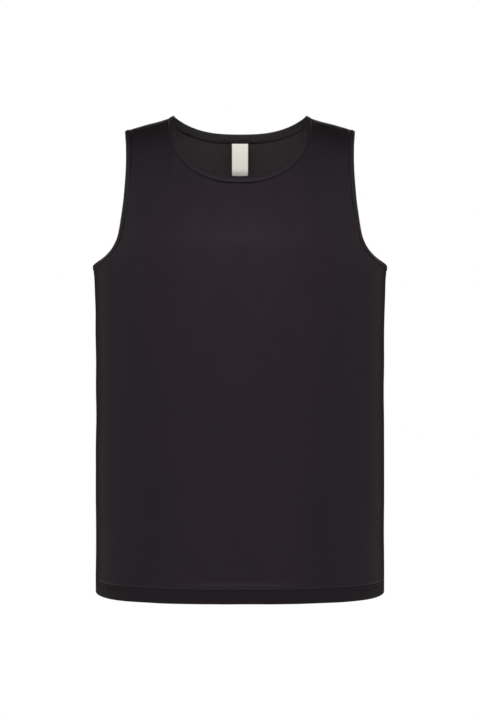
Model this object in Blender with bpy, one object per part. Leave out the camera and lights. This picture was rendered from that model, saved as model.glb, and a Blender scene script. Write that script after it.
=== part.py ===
"""Sleeveless T-shirt (sports tank top) in its worn, filled-out shape, hollow inside.

Metres, +Z up. The front faces -Y and +X is to the viewer's right. The origin lies between
the shoulders, level with the middle of the shoulder seams. Heights are given as drops below
the neck point, the inner and highest end of a shoulder seam.

Every piece lies on one form. Seen from the front, the form's outline is the shirt's own, and
each level of it is a rounded section, as deep as the chest and the back are there.
"""

import math
from collections import namedtuple

import bmesh
import bpy
from mathutils import Vector

# Driving sizes
NECK_POINT_HEIGHT = 0.012
NECK_HALF_WIDTH = 0.0982
UNDERARM_DROP = 0.2256
HEM_DROP = 0.7160
HEM_SIDE_LIFT = 0.0062
HEM_LIFT_POWER = 3.2
HEM_DEPTH = 0.020

# Cloth
PANEL_WALL = 0.0014
HEM_WALL = 0.0026
BINDING_WALL = 0.0024
BINDING_PROUD = 0.0003
BINDING_FOLD = 0.0008
LABEL_WALL = 0.0010
SEAM_GAP = 0.0003

# Widths of the folded strips between the finished edge and their seam
ARMHOLE_BAND = 0.0085
SHOULDER_BAND = 0.0100

# The label's size, and how far its loose end hangs clear of the back
LABEL_HALF_WIDTH = 0.0125
LABEL_LENGTH = 0.055
LABEL_LEAN = 0.20

# Grid of a panel: columns and rows of faces. SIDE_ROW is where the side seam meets the armhole.
HALF_COLUMNS = 13
NECK_COLUMNS = 5
HEM_ROWS = 2
SIDE_ROW = 12
ARMHOLE_ROWS = 12
TOP_ROW = SIDE_ROW + ARMHOLE_ROWS
LABEL_COLUMNS = 2
LABEL_ROWS = 4

# Fineness of the search along a curve, the step for slopes, and the steps to reach the form
CURVE_SAMPLES = 160
SLOPE_STEP = 1e-5
LANDING_STEPS = 6

# Points of one shape that are closer than this are the same
SAME_PLACE = 0.00003

# The form at each level: half its width at the side seams, the half width that the rest of the
# section follows, its depth in front of the side seams and behind them, and how square it is
Level = namedtuple("Level", "drop half_width body front back squareness")
FORM = (
    Level(0.0000, 0.1915, 0.2000, 0.1150, 0.1120, 2.40),
    Level(0.1450, 0.1925, 0.2050, 0.1170, 0.1125, 2.40),
    Level(0.1780, 0.1950, 0.2085, 0.1175, 0.1130, 2.40),
    Level(0.1950, 0.2000, 0.2105, 0.1177, 0.1135, 2.42),
    Level(0.2110, 0.2095, 0.2125, 0.1180, 0.1140, 2.44),
    Level(0.2256, 0.2196, 0.2140, 0.1180, 0.1140, 2.45),
    Level(0.2400, 0.2181, 0.2150, 0.1180, 0.1137, 2.47),
    Level(0.2700, 0.2168, 0.2155, 0.1175, 0.1125, 2.50),
    Level(0.3000, 0.2156, 0.2154, 0.1170, 0.1105, 2.55),
    Level(0.3900, 0.2150, 0.2150, 0.1155, 0.1065, 2.62),
    Level(0.5000, 0.2150, 0.2150, 0.1130, 0.1045, 2.70),
    Level(0.7200, 0.2151, 0.2151, 0.1120, 0.1070, 2.80),
)

# How close to the side seams the section keeps the half width of its middle
SIDE_POWER = 8

# How softly the upper chest and back turn into the upright body, as a share of their height
CHEST_TURN = 0.06

# The armhole's finished edge, seen from the front
Edge = namedtuple("Edge", "drop half_width")
ARMHOLE = (
    Edge(0.0232, 0.1722),
    Edge(0.0510, 0.1690),
    Edge(0.0790, 0.1681),
    Edge(0.1235, 0.1701),
    Edge(0.1583, 0.1741),
    Edge(0.1841, 0.1785),
    Edge(0.2011, 0.1862),
    Edge(0.2137, 0.1983),
    Edge(0.2256, 0.2196),
)

# Ridge of the form over the shoulders. Inside the neck it only shapes the cloth below it.
Ridge = namedtuple("Ridge", "half_width front back")
RIDGE = (
    Ridge(0.0000, 0.0060, -0.0120),
    Ridge(0.0450, 0.0048, -0.0090),
    Ridge(0.0750, 0.0024, -0.0040),
    Ridge(0.0900, 0.0006, -0.0008),
    Ridge(0.0982, 0.0000, 0.0000),
    Ridge(0.1090, 0.0054, 0.0054),
    Ridge(0.1190, 0.0082, 0.0082),
    Ridge(0.1370, 0.0130, 0.0130),
    Ridge(0.1722, 0.0232, 0.0232),
    Ridge(0.2300, 0.0450, 0.0450),
)

# What differs between the front and the back. facing is the side of the XZ plane. The form is
# at full depth at full_drop. The neck edge is a curve of neck_drop with the two neck powers.
# band is the binding's width at the centre, neck_row the armhole row level with the corner of
# the neck, and corner that corner's share of the way from the centre to the shoulder.
Panel = namedtuple(
    "Panel",
    "name facing full_drop shoulder_power chest_power neck_drop neck_across neck_down band"
    " neck_row corner",
)
FRONT = Panel("front", -1, 0.190, 2.1, 1.15, 0.1010, 2.3, 2.3, 0.0095, 7, 0.47)
BACK = Panel("back", 1, 0.200, 2.0, 2.0, 0.0192, 2.8, 1.0, 0.0122, 9, 0.62)

BLACK_KNIT = (0.022, 0.018, 0.021, 1.0)
BLACK_BINDING = (0.027, 0.022, 0.025, 1.0)
WHITE_TAPE = (0.85, 0.85, 0.80, 1.0)
CLOTH_ROUGHNESS = 0.65
SHARP_ANGLE = math.radians(50)


def secant(table, first, column):
    """Slope of a column between one row and the next."""
    here, after = table[first], table[first + 1]
    return (getattr(after, column) - getattr(here, column)) / (after[0] - here[0])


def slope_at(table, row, column):
    """Slope of the smooth curve at a row, which never overshoots its neighbours."""
    if row == 0:
        return secant(table, 0, column)
    if row == len(table) - 1:
        return secant(table, row - 1, column)
    before, after = secant(table, row - 1, column), secant(table, row, column)
    if before * after <= 0:
        return 0.0
    return 2 * before * after / (before + after)


def smooth(table, place, column):
    """Value of a column at a place along the table's first column, on a smooth curve."""
    place = min(max(place, table[0][0]), table[-1][0])
    row = 0
    while row < len(table) - 2 and place > table[row + 1][0]:
        row += 1
    start, end = table[row], table[row + 1]
    span = end[0] - start[0]
    share = (place - start[0]) / span
    rest = 1 - share
    value_part = getattr(start, column) * rest * rest * (1 + 2 * share)
    value_part += getattr(end, column) * share * share * (1 + 2 * rest)
    slope_part = slope_at(table, row, column) * rest - slope_at(table, row + 1, column) * share
    return value_part + slope_part * span * share * rest


def mix(start, end, share):
    """Straight mix of two values."""
    return start + (end - start) * share


def signed_power(value, exponent):
    """Power that keeps the sign of its base."""
    return math.copysign(abs(value) ** exponent, value)


def height(drop):
    """Height above the origin of a drop below the neck point."""
    return NECK_POINT_HEIGHT - drop


def drop_of(point):
    """Drop of a point below the neck point."""
    return NECK_POINT_HEIGHT - point.z


def form_half_width(drop):
    """Half width of the form's whole section at a level."""
    return smooth(FORM, drop, "half_width")


def ridge_drop(panel, across):
    """Drop of the form's ridge at a distance from the centre."""
    return smooth(RIDGE, abs(across), panel.name)


def share_out(across, drop):
    """Share of the way from the centre to the side. Only near the side does the outline lead."""
    body = smooth(FORM, drop, "body")
    reach = form_half_width(drop) / body
    pull = (1 - 1 / reach) / reach**SIDE_POWER
    share = abs(across) / body
    return share * (1 - pull * share**SIDE_POWER)


def fullness(panel, across, drop):
    """Depth of the form to the power of its squareness. It is below 0 outside the outline."""
    squareness = smooth(FORM, drop, "squareness")
    ridge = ridge_drop(panel, across)
    above_chest = (panel.full_drop - drop) / (panel.full_drop - ridge)
    soft_chest = above_chest + math.hypot(above_chest, CHEST_TURN)
    soft_chest = soft_chest / (1 + math.hypot(1, CHEST_TURN))
    from_ridge = 1 - soft_chest**panel.chest_power
    from_side = 1 - share_out(across, drop) ** squareness
    shoulder = signed_power(from_ridge, squareness / panel.shoulder_power)
    return smooth(FORM, drop, panel.name) ** squareness * shoulder * from_side


def form_point(panel, across, drop):
    """Point of the form at a place seen from the front."""
    squareness = smooth(FORM, drop, "squareness")
    depth = max(fullness(panel, across, drop), 0.0) ** (1 / squareness)
    return Vector((across, panel.facing * depth, height(drop)))


def excess(panel, point):
    """Above 0 inside the form, 0 on it and below 0 outside."""
    drop = drop_of(point)
    return fullness(panel, point.x, drop) - abs(point.y) ** smooth(FORM, drop, "squareness")


def inward_slope(panel, point):
    """Gradient of the excess at a point of the form. It points inwards."""
    step_x, step_z = Vector((SLOPE_STEP, 0, 0)), Vector((0, 0, SLOPE_STEP))
    squareness = smooth(FORM, drop_of(point), "squareness")
    return Vector(
        (
            (excess(panel, point + step_x) - excess(panel, point - step_x)) / (2 * SLOPE_STEP),
            -panel.facing * squareness * abs(point.y) ** (squareness - 1),
            (excess(panel, point + step_z) - excess(panel, point - step_z)) / (2 * SLOPE_STEP),
        )
    )


def outward(panel, point):
    """Unit normal of the form at one of its points."""
    return -inward_slope(panel, point).normalized()


def onto_form(panel, point):
    """Nearest point of the form to a point close to it."""
    for _ in range(LANDING_STEPS):
        slope = inward_slope(panel, point)
        point = point - slope * (excess(panel, point) / slope.length_squared)
    return point


def armhole_edge(panel, share):
    """Finished armhole edge at the right, from the underarm at 0 to the shoulder at 1."""
    ease = (1 - math.cos(math.pi * share)) / 2
    drop = mix(UNDERARM_DROP, ARMHOLE[0].drop, ease)
    across = smooth(ARMHOLE, drop, "half_width")
    if share in (0, 1):
        return Vector((across, 0, height(drop)))
    return form_point(panel, across, drop)


def neck_edge(panel, share):
    """Finished neck edge, from the centre at 0 to the shoulder seam at the right at 1."""
    turn = math.pi / 2 * (1 - (1 - share) ** 2)
    across = NECK_HALF_WIDTH * math.sin(turn) ** (2 / panel.neck_across)
    drop = panel.neck_drop * abs(math.cos(turn)) ** (2 / panel.neck_down)
    if share == 1:
        return Vector((NECK_HALF_WIDTH, 0, NECK_POINT_HEIGHT))
    return form_point(panel, across, drop)


def shares_at(panel, curve, lengths):
    """Shares along a curve at the given parts of its whole length."""
    points = [curve(panel, k / CURVE_SAMPLES) for k in range(CURVE_SAMPLES + 1)]
    travelled = [0.0]
    for before, after in zip(points, points[1:]):
        travelled.append(travelled[-1] + (after - before).length)
    shares = []
    for length in lengths:
        wanted = length * travelled[-1]
        k = 0
        while k < CURVE_SAMPLES - 1 and travelled[k + 1] < wanted:
            k += 1
        part = (wanted - travelled[k]) / (travelled[k + 1] - travelled[k])
        shares.append((k + min(max(part, 0.0), 1.0)) / CURVE_SAMPLES)
    return shares


Station = namedtuple("Station", "edge edge_normal seam seam_normal")


def station(panel, curve, share, width, side):
    """The binding's finished edge and its seam at one place along a curve.

    The seam lies on the form, its width away from the edge, square to the curve.
    """
    step = 0.5 / CURVE_SAMPLES
    edge = curve(panel, share)
    along = curve(panel, min(share + step, 1)) - curve(panel, max(share - step, 0))
    if edge.x == 0:
        along = Vector((along.x, 0, 0))
    if edge.y == 0:
        along = Vector((0, along.y, 0))
    normal = outward(panel, edge)
    aside = side * panel.facing * along.cross(normal).normalized()
    seam = onto_form(panel, edge + aside * width)
    if edge.y == 0:
        seam.y = 0
    return Station(edge, normal, seam, outward(panel, seam))


def armhole_stations(panel):
    """Stations up the right armhole, from the underarm to the shoulder."""
    lengths = [k / ARMHOLE_ROWS for k in range(ARMHOLE_ROWS + 1)]
    shares = shares_at(panel, armhole_edge, lengths)
    shares[0], shares[-1] = 0, 1
    return [station(panel, armhole_edge, share, ARMHOLE_BAND, 1) for share in shares]


def neck_stations(panel):
    """Stations along the right half of the neck, from the centre to the shoulder."""
    strap_rows = ARMHOLE_ROWS - panel.neck_row
    lengths = [panel.corner * k / NECK_COLUMNS for k in range(NECK_COLUMNS)]
    lengths += [mix(panel.corner, 1, k / strap_rows) for k in range(strap_rows + 1)]
    shares = shares_at(panel, neck_edge, lengths)
    shares[-1] = 1
    stations = []
    for share, length in zip(shares, lengths):
        width = mix(panel.band, SHOULDER_BAND, length**2)
        stations.append(station(panel, neck_edge, share, width, -1))
    return stations


def hem_drop(share):
    """Drop of the finished hem at a share of the way from the centre to a side."""
    return HEM_DROP - HEM_SIDE_LIFT * share**HEM_LIFT_POWER


def seam_half_width(seams, drop):
    """Half width of the panel at a level above the side seam's top, along its armhole seam."""
    heights = [drop_of(seam) for seam in seams]
    if drop >= heights[0]:
        return form_half_width(drop)
    k = 0
    while k < len(seams) - 2 and drop < heights[k + 1]:
        k += 1
    share = (heights[k] - drop) / (heights[k] - heights[k + 1])
    return mix(seams[k].x, seams[k + 1].x, share)


def share_across(seams, across, drop):
    """Share of the way around the section from the centre to the panel's edge."""
    whole = form_half_width(drop)
    edge = math.asin(min(seam_half_width(seams, drop) / whole, 1.0))
    return math.asin(min(across / whole, 1.0)) / edge


def point_across(panel, seams, share, drop):
    """Point of a panel at a share of the way around the section at a level."""
    whole = form_half_width(drop)
    edge = math.asin(min(seam_half_width(seams, drop) / whole, 1.0))
    return form_point(panel, whole * math.sin(edge * share), drop)


def body_drop(share, row, side_top):
    """Level of a row below the underarm: the hem's rows, then even ones up to the side's top."""
    hem = hem_drop(share)
    if row <= HEM_ROWS:
        return hem - HEM_DEPTH * row / HEM_ROWS
    return mix(hem - HEM_DEPTH, side_top, (row - HEM_ROWS) / (SIDE_ROW - HEM_ROWS))


def strap_point(panel, inner, outer, share):
    """Point between the neck's seam and the armhole's, at a like distance below the ridge."""
    across = mix(inner.x, outer.x, share)
    inner_fall = drop_of(inner) - ridge_drop(panel, inner.x)
    outer_fall = drop_of(outer) - ridge_drop(panel, outer.x)
    fall = max(mix(inner_fall, outer_fall, share), 0.0)
    return form_point(panel, across, ridge_drop(panel, across) + fall)


def body_points(panel, seams):
    """Points from the hem up to the top of the side seam, by column and row."""
    side_top = drop_of(seams[0])
    points = {}
    for column in range(HALF_COLUMNS + 1):
        share = column / HALF_COLUMNS
        for row in range(SIDE_ROW + 1):
            drop = body_drop(share, row, side_top)
            points[column, row] = point_across(panel, seams, share, drop)
    return points


def chest_points(panel, seams, necks):
    """Points between the underarm's level and the neck, by column and row."""
    side_top = drop_of(seams[0])
    rise = side_top - drop_of(seams[panel.neck_row])
    points = {}
    for column in range(HALF_COLUMNS):
        top = neck_level_point(panel, seams, necks, column)
        top_share = share_across(seams, top.x, drop_of(top))
        for row in range(1, panel.neck_row):
            risen = (side_top - drop_of(seams[row])) / rise
            share = mix(column / HALF_COLUMNS, top_share, risen)
            drop = mix(side_top, drop_of(top), risen)
            points[column, SIDE_ROW + row] = point_across(panel, seams, share, drop)
    for row in range(panel.neck_row):
        points[HALF_COLUMNS, SIDE_ROW + row] = seams[row]
    return points


def neck_level_point(panel, seams, necks, column):
    """Point of a column at the row level with the corner of the neck."""
    if column < NECK_COLUMNS:
        return necks[column]
    share = (column - NECK_COLUMNS) / (HALF_COLUMNS - NECK_COLUMNS)
    return strap_point(panel, necks[NECK_COLUMNS], seams[panel.neck_row], share)


def strap_points(panel, seams, necks):
    """Points beside the neck, up to the shoulder seam, by column and row."""
    points = {}
    strap_columns = HALF_COLUMNS - NECK_COLUMNS
    for row in range(panel.neck_row, ARMHOLE_ROWS + 1):
        inner = necks[NECK_COLUMNS + row - panel.neck_row]
        for step in range(1, strap_columns):
            place = strap_point(panel, inner, seams[row], step / strap_columns)
            points[NECK_COLUMNS + step, SIDE_ROW + row] = place
        points[NECK_COLUMNS, SIDE_ROW + row] = inner
        points[HALF_COLUMNS, SIDE_ROW + row] = seams[row]
    return points


def half_panel(panel):
    """Points of a panel's right half on the form, by column and row."""
    seams = [place.seam for place in armhole_stations(panel)]
    necks = [place.seam for place in neck_stations(panel)]
    points = body_points(panel, seams)
    points.update(chest_points(panel, seams, necks))
    points.update(strap_points(panel, seams, necks))
    for column in range(NECK_COLUMNS):
        points[column, SIDE_ROW + panel.neck_row] = necks[column]
    return points


def mirrored(vector):
    """The same point or direction on the other side of the shirt."""
    return Vector((-vector.x, vector.y, vector.z))


def cloth_object(name, shape, colour):
    """Object with its own cloth material from a finished bmesh."""
    bmesh.ops.recalc_face_normals(shape, faces=shape.faces[:])
    mesh = bpy.data.meshes.new(name)
    shape.to_mesh(mesh)
    shape.free()
    mesh.shade_smooth()
    mesh.set_sharp_from_angle(angle=SHARP_ANGLE)
    material = bpy.data.materials.new(name)
    material.use_nodes = True
    shader = material.node_tree.nodes["Principled BSDF"]
    shader.inputs["Base Color"].default_value = colour
    shader.inputs["Roughness"].default_value = CLOTH_ROUGHNESS
    shader.inputs["Metallic"].default_value = 0.0
    mesh.materials.append(material)
    piece = bpy.data.objects.new(name, mesh)
    bpy.context.collection.objects.link(piece)
    return piece


def grid_places(shape, columns, rows):
    """Column and row of each vertex of a new grid."""
    return {
        vertex: (round((vertex.co.x + 1) / 2 * columns), round((vertex.co.y + 1) / 2 * rows))
        for vertex in shape.verts
    }


def add_wall(shape, walls):
    """Gives a sheet its thickness: walls holds each vertex's step to the inner face."""
    before = set(shape.verts)
    partners = {tuple(round(value, 7) for value in vertex.co): walls[vertex] for vertex in before}
    raised = bmesh.ops.extrude_face_region(shape, geom=shape.faces[:], use_keep_orig=True)
    for vertex in raised["geom"]:
        if isinstance(vertex, bmesh.types.BMVert):
            vertex.co += partners[tuple(round(value, 7) for value in vertex.co)]


def make_panel(panel, name):
    """A body panel: a grid with the neck cut out of its top, laid on the form as a wall."""
    half = half_panel(panel)
    shape = bmesh.new()
    bmesh.ops.create_grid(shape, x_segments=2 * HALF_COLUMNS, y_segments=TOP_ROW, size=1.0)
    places = grid_places(shape, 2 * HALF_COLUMNS, TOP_ROW)
    neck = [
        vertex
        for vertex, (column, row) in places.items()
        if abs(column - HALF_COLUMNS) < NECK_COLUMNS and row > SIDE_ROW + panel.neck_row
    ]
    bmesh.ops.delete(shape, geom=neck, context="VERTS")
    walls = {}
    for vertex in shape.verts:
        column, row = places[vertex]
        column -= HALF_COLUMNS
        point = half[abs(column), row].copy()
        normal = outward(panel, point)
        if row == TOP_ROW or abs(column) == HALF_COLUMNS and row <= SIDE_ROW:
            point.y = panel.facing * SEAM_GAP / 2
            normal.y = 0
            normal.normalize()
        if column < 0:
            point, normal = mirrored(point), mirrored(normal)
        vertex.co = point
        walls[vertex] = -normal * (HEM_WALL if row <= HEM_ROWS else PANEL_WALL)
    add_wall(shape, walls)
    return cloth_object(name, shape, BLACK_KNIT)


def band_section(place):
    """Corners of a folded strip across one station, from its seam round the fold and back."""
    across = place.edge - place.seam
    toward = across.normalized()
    seam = place.seam + toward * SEAM_GAP
    crest = place.edge - toward * BINDING_FOLD
    face, back = BINDING_PROUD, BINDING_PROUD - BINDING_WALL
    return (
        seam + place.seam_normal * face,
        crest + place.edge_normal * face,
        place.edge + place.edge_normal * (face - BINDING_FOLD),
        place.edge + place.edge_normal * (back + BINDING_FOLD),
        crest + place.edge_normal * back,
        seam + place.seam_normal * back,
    )


def make_band(name, ring):
    """A binding: the folded strip's section carried around its ring of stations."""
    sections = [band_section(place) for place in ring]
    corners = len(sections[0])
    shape = bmesh.new()
    bmesh.ops.create_grid(shape, x_segments=len(ring), y_segments=corners, size=1.0)
    for vertex, (along, around) in grid_places(shape, len(ring), corners).items():
        vertex.co = sections[along % len(ring)][around % corners]
    bmesh.ops.remove_doubles(shape, verts=shape.verts[:], dist=SAME_PLACE)
    return cloth_object(name, shape, BLACK_BINDING)


def mirrored_station(place):
    """A station on the other side of the shirt."""
    return Station(*(mirrored(vector) for vector in place))


def armhole_ring():
    """Stations around the right armhole: up the front and down the back."""
    front, back = armhole_stations(FRONT), armhole_stations(BACK)
    return front + back[-2:0:-1]


def neck_ring():
    """Stations around the neck: front centre, right shoulder, back centre, left shoulder."""
    front, back = neck_stations(FRONT), neck_stations(BACK)
    right = front + back[-2::-1]
    return right + [mirrored_station(place) for place in right[-2:0:-1]]


def make_label():
    """Neck label: a folded tape that hangs from the back neck seam, inside."""
    top = neck_stations(BACK)[0]
    inward = -PANEL_WALL - SEAM_GAP
    shape = bmesh.new()
    bmesh.ops.create_grid(shape, x_segments=LABEL_COLUMNS, y_segments=LABEL_ROWS, size=1.0)
    walls = {}
    for vertex, (column, row) in grid_places(shape, LABEL_COLUMNS, LABEL_ROWS).items():
        across = mix(-LABEL_HALF_WIDTH, LABEL_HALF_WIDTH, column / LABEL_COLUMNS)
        fallen = LABEL_LENGTH * (1 - row / LABEL_ROWS)
        seat = form_point(BACK, across, drop_of(top.seam))
        seat += outward(BACK, seat) * inward
        vertex.co = seat + Vector((0, LABEL_LEAN * fallen, -SEAM_GAP - fallen))
        walls[vertex] = Vector((0, -LABEL_WALL, 0))
    add_wall(shape, walls)
    return cloth_object("neck_label", shape, WHITE_TAPE)


def main():
    """Builds the shirt in an empty scene."""
    for piece in list(bpy.data.objects):
        bpy.data.objects.remove(piece)
    make_panel(FRONT, "front_panel")
    make_panel(BACK, "back_panel")
    make_band("neck_binding", neck_ring())
    right = armhole_ring()
    make_band("armhole_binding_left", right)
    make_band("armhole_binding_right", [mirrored_station(place) for place in right])
    make_label()


main()
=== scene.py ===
"""Looks of a sleeveless sports T-shirt in its worn, filled-out shape.

Metres, +Z up. The front faces -Y and +X is to the viewer's right. The shirt is held at the
shoulders, so it hangs clear of the floor. Every piece of cloth is a thin shell on the form that
the shirt keeps when it is worn, and stands for the plain solid of the same piece.
"""

import logging
import math
import random
from collections.abc import Callable, Sequence
from dataclasses import dataclass, field, fields, replace
from enum import Enum

import bmesh
import bpy
import numpy as np
from mathutils import Matrix, Vector
from mathutils.kdtree import KDTree


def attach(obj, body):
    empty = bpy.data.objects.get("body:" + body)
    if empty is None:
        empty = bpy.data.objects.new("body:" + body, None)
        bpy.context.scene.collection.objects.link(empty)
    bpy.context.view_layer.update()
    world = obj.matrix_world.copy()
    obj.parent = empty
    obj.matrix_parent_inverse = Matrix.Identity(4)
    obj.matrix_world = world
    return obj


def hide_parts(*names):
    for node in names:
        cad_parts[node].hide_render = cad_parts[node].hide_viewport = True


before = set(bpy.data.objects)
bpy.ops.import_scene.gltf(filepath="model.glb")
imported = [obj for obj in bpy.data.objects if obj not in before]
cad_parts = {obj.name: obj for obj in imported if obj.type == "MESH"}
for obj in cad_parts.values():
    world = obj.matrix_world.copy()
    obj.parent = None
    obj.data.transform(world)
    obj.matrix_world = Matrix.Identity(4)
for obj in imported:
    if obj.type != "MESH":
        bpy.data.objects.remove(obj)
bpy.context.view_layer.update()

LOG = logging.getLogger("shirt")
BODY = "root"
# The cloth's map of places on the flat cloth, and its attribute of painted shade in folds, seam
# grooves, the hem and laps
CLOTH_MAP = "cloth"
PAINTED_SHADE = "hollow"

# Driving sizes of the shirt, as its solids have them
NECK_POINT_HEIGHT = 0.012
NECK_HALF_WIDTH = 0.0982
UNDERARM_DROP = 0.2256
HEM_DROP = 0.7160
HEM_SIDE_LIFT = 0.0062
HEM_LIFT_POWER = 3.2
ARMHOLE_BAND = 0.0085
SHOULDER_BAND = 0.0100
SEAM_GAP = 0.0003
SIDE_POWER = 8
CHEST_TURN = 0.06

# The label's tape, folded once across
LABEL_HALF_WIDTH = 0.0125
LABEL_LENGTH = 0.0487

# Share of the way around a section where the neck's corner stands, as on the solids
CORNER_OUT = 5 / 13

# The search along curves and on the form
CURVE_SAMPLES = 160
SLOPE_STEP = 1e-5
LANDING_STEPS = 6

# A place's mirror image on the other side of the shirt
FLIP = np.array([-1.0, 1.0, 1.0])

# Least values that keep divisions clear of zero
LEAST_LENGTH = 1e-12
LEAST_SLOPE = 1e-16
LEAST_PIECE = 1e-9

# How many times the wave texture enlarges a place before it reads it
WAVE_RATE = 20

Array = np.ndarray
Colour = tuple[float, float, float]
WHITE: Colour = (1.0, 1.0, 1.0)


@dataclass(frozen=True)
class Level:
    """A level of the form: half widths, depths and how square the section is."""

    drop: float
    half_width: float
    body: float
    front: float
    back: float
    squareness: float


@dataclass(frozen=True)
class EdgePoint:
    """A point of the armhole's finished edge, seen from the front."""

    drop: float
    half_width: float


@dataclass(frozen=True)
class RidgePoint:
    """Drop of the form's ridge over a shoulder, for the front and the back."""

    half_width: float
    front: float
    back: float


FORM_LEVELS = (
    Level(0.0000, 0.1915, 0.2000, 0.1150, 0.1120, 2.40),
    Level(0.1450, 0.1925, 0.2050, 0.1170, 0.1125, 2.40),
    Level(0.1780, 0.1950, 0.2085, 0.1175, 0.1130, 2.40),
    Level(0.1950, 0.2000, 0.2105, 0.1177, 0.1135, 2.42),
    Level(0.2110, 0.2095, 0.2125, 0.1180, 0.1140, 2.44),
    Level(0.2256, 0.2196, 0.2140, 0.1180, 0.1140, 2.45),
    Level(0.2400, 0.2181, 0.2150, 0.1180, 0.1137, 2.47),
    Level(0.2700, 0.2168, 0.2155, 0.1175, 0.1125, 2.50),
    Level(0.3000, 0.2156, 0.2154, 0.1170, 0.1105, 2.55),
    Level(0.3900, 0.2150, 0.2150, 0.1155, 0.1065, 2.62),
    Level(0.5000, 0.2150, 0.2150, 0.1130, 0.1045, 2.70),
    Level(0.7200, 0.2151, 0.2151, 0.1120, 0.1070, 2.80),
)
ARMHOLE_POINTS = (
    EdgePoint(0.0232, 0.1722),
    EdgePoint(0.0510, 0.1690),
    EdgePoint(0.0790, 0.1681),
    EdgePoint(0.1235, 0.1701),
    EdgePoint(0.1583, 0.1741),
    EdgePoint(0.1841, 0.1785),
    EdgePoint(0.2011, 0.1862),
    EdgePoint(0.2137, 0.1983),
    EdgePoint(0.2256, 0.2196),
)
RIDGE_POINTS = (
    RidgePoint(0.0000, 0.0060, -0.0120),
    RidgePoint(0.0450, 0.0048, -0.0090),
    RidgePoint(0.0750, 0.0024, -0.0040),
    RidgePoint(0.0900, 0.0006, -0.0008),
    RidgePoint(0.0982, 0.0000, 0.0000),
    RidgePoint(0.1090, 0.0054, 0.0054),
    RidgePoint(0.1190, 0.0082, 0.0082),
    RidgePoint(0.1370, 0.0130, 0.0130),
    RidgePoint(0.1722, 0.0232, 0.0232),
    RidgePoint(0.2300, 0.0450, 0.0450),
)


class SmoothTable:
    """Rows of sizes whose columns are read on smooth curves that never overshoot."""

    def __init__(self, rows: Sequence) -> None:
        """Keeps the columns and their slopes.

        Args:
            rows: frozen dataclass rows. Their first field is the place along the table.
        """
        names = [column.name for column in fields(rows[0])]
        self.places = np.array([getattr(row, names[0]) for row in rows])
        self.values = {name: np.array([getattr(row, name) for row in rows]) for name in names[1:]}
        self.slopes = {name: self.slopes_of(values) for name, values in self.values.items()}

    def slopes_of(self, values: Array) -> Array:
        """Slopes of a column's curve at its rows.

        Args:
            values: the column.

        Returns:
            One slope for each row.
        """
        secants = np.diff(values) / np.diff(self.places)
        before, after = secants[:-1], secants[1:]
        product = before * after
        total = np.where(product > 0, before + after, 1.0)
        inner = np.where(product > 0, 2 * product / total, 0.0)
        return np.concatenate((secants[:1], inner, secants[-1:]))

    def at(self, name: str, places: Array | float) -> Array:
        """Values of a column.

        Args:
            name: the column.
            places: places along the table's first column.

        Returns:
            The column's value at each place.
        """
        places = np.clip(places, self.places[0], self.places[-1])
        row = np.clip(np.searchsorted(self.places, places) - 1, 0, len(self.places) - 2)
        values, slopes = self.values[name], self.slopes[name]
        span = self.places[row + 1] - self.places[row]
        share = (places - self.places[row]) / span
        rest = 1 - share
        value_part = values[row] * rest * rest * (1 + 2 * share)
        value_part = value_part + values[row + 1] * share * share * (1 + 2 * rest)
        slope_part = slopes[row] * rest - slopes[row + 1] * share
        return value_part + slope_part * span * share * rest


def mix(start: Array | float, end: Array | float, share: Array | float) -> Array | float:
    """Straight mix of two values."""
    return start + (end - start) * share


def bump_at(distance: Array | float, width: Array | float) -> Array | float:
    """Soft bell of height 1 that has fallen to a third one width away."""
    return np.exp(-((distance / width) ** 2))


def lengths_of(vectors: Array) -> Array:
    """Length of each vector, with one axis kept for division."""
    return np.linalg.norm(vectors, axis=-1, keepdims=True)


def unit(vectors: Array) -> Array:
    """Vectors of length 1."""
    return vectors / np.maximum(lengths_of(vectors), LEAST_LENGTH)


def travelled(points: Array) -> Array:
    """Length along a line of points, from its start to each point."""
    steps = lengths_of(np.diff(points, axis=0))[:, 0]
    return np.concatenate(([0.0], np.cumsum(steps)))


@dataclass(frozen=True)
class Half:
    """What differs between the front and the back of the form.

    facing is the side of the XZ plane. The form is at full depth at full_drop. The neck edge is a
    curve of neck_drop with the two neck powers. band is the neck binding's width at the centre,
    corner_up the share of the armhole below the level of the neck's corner, and corner_along the
    share of the half neck that lies before that corner.
    """

    name: str
    facing: int
    full_drop: float
    shoulder_power: float
    chest_power: float
    neck_drop: float
    neck_across: float
    neck_down: float
    band: float
    corner_up: float
    corner_along: float


FRONT = Half("front", -1, 0.190, 2.1, 1.15, 0.1010, 2.3, 2.3, 0.0095, 7 / 12, 0.47)
BACK = Half("back", 1, 0.200, 2.0, 2.0, 0.0192, 2.8, 1.0, 0.0122, 9 / 12, 0.62)


@dataclass(frozen=True)
class Stations:
    """A binding's finished edge and its seam, at places along its curve."""

    edge: Array
    edge_normal: Array
    seam: Array
    seam_normal: Array

    def mirrored(self) -> "Stations":
        """The same places on the other side of the shirt."""
        return Stations(*(getattr(self, column.name) * FLIP for column in fields(self)))

    def part(self, picked: slice) -> "Stations":
        """Some of the places, in the slice's order."""
        return Stations(*(getattr(self, column.name)[picked] for column in fields(self)))

    def joined(self, other: "Stations") -> "Stations":
        """These places and then the other ones."""
        pairs = ((getattr(self, kept.name), getattr(other, kept.name)) for kept in fields(self))
        return Stations(*(np.concatenate(pair) for pair in pairs))


Curve = Callable[[Half, Array], Array]


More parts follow.
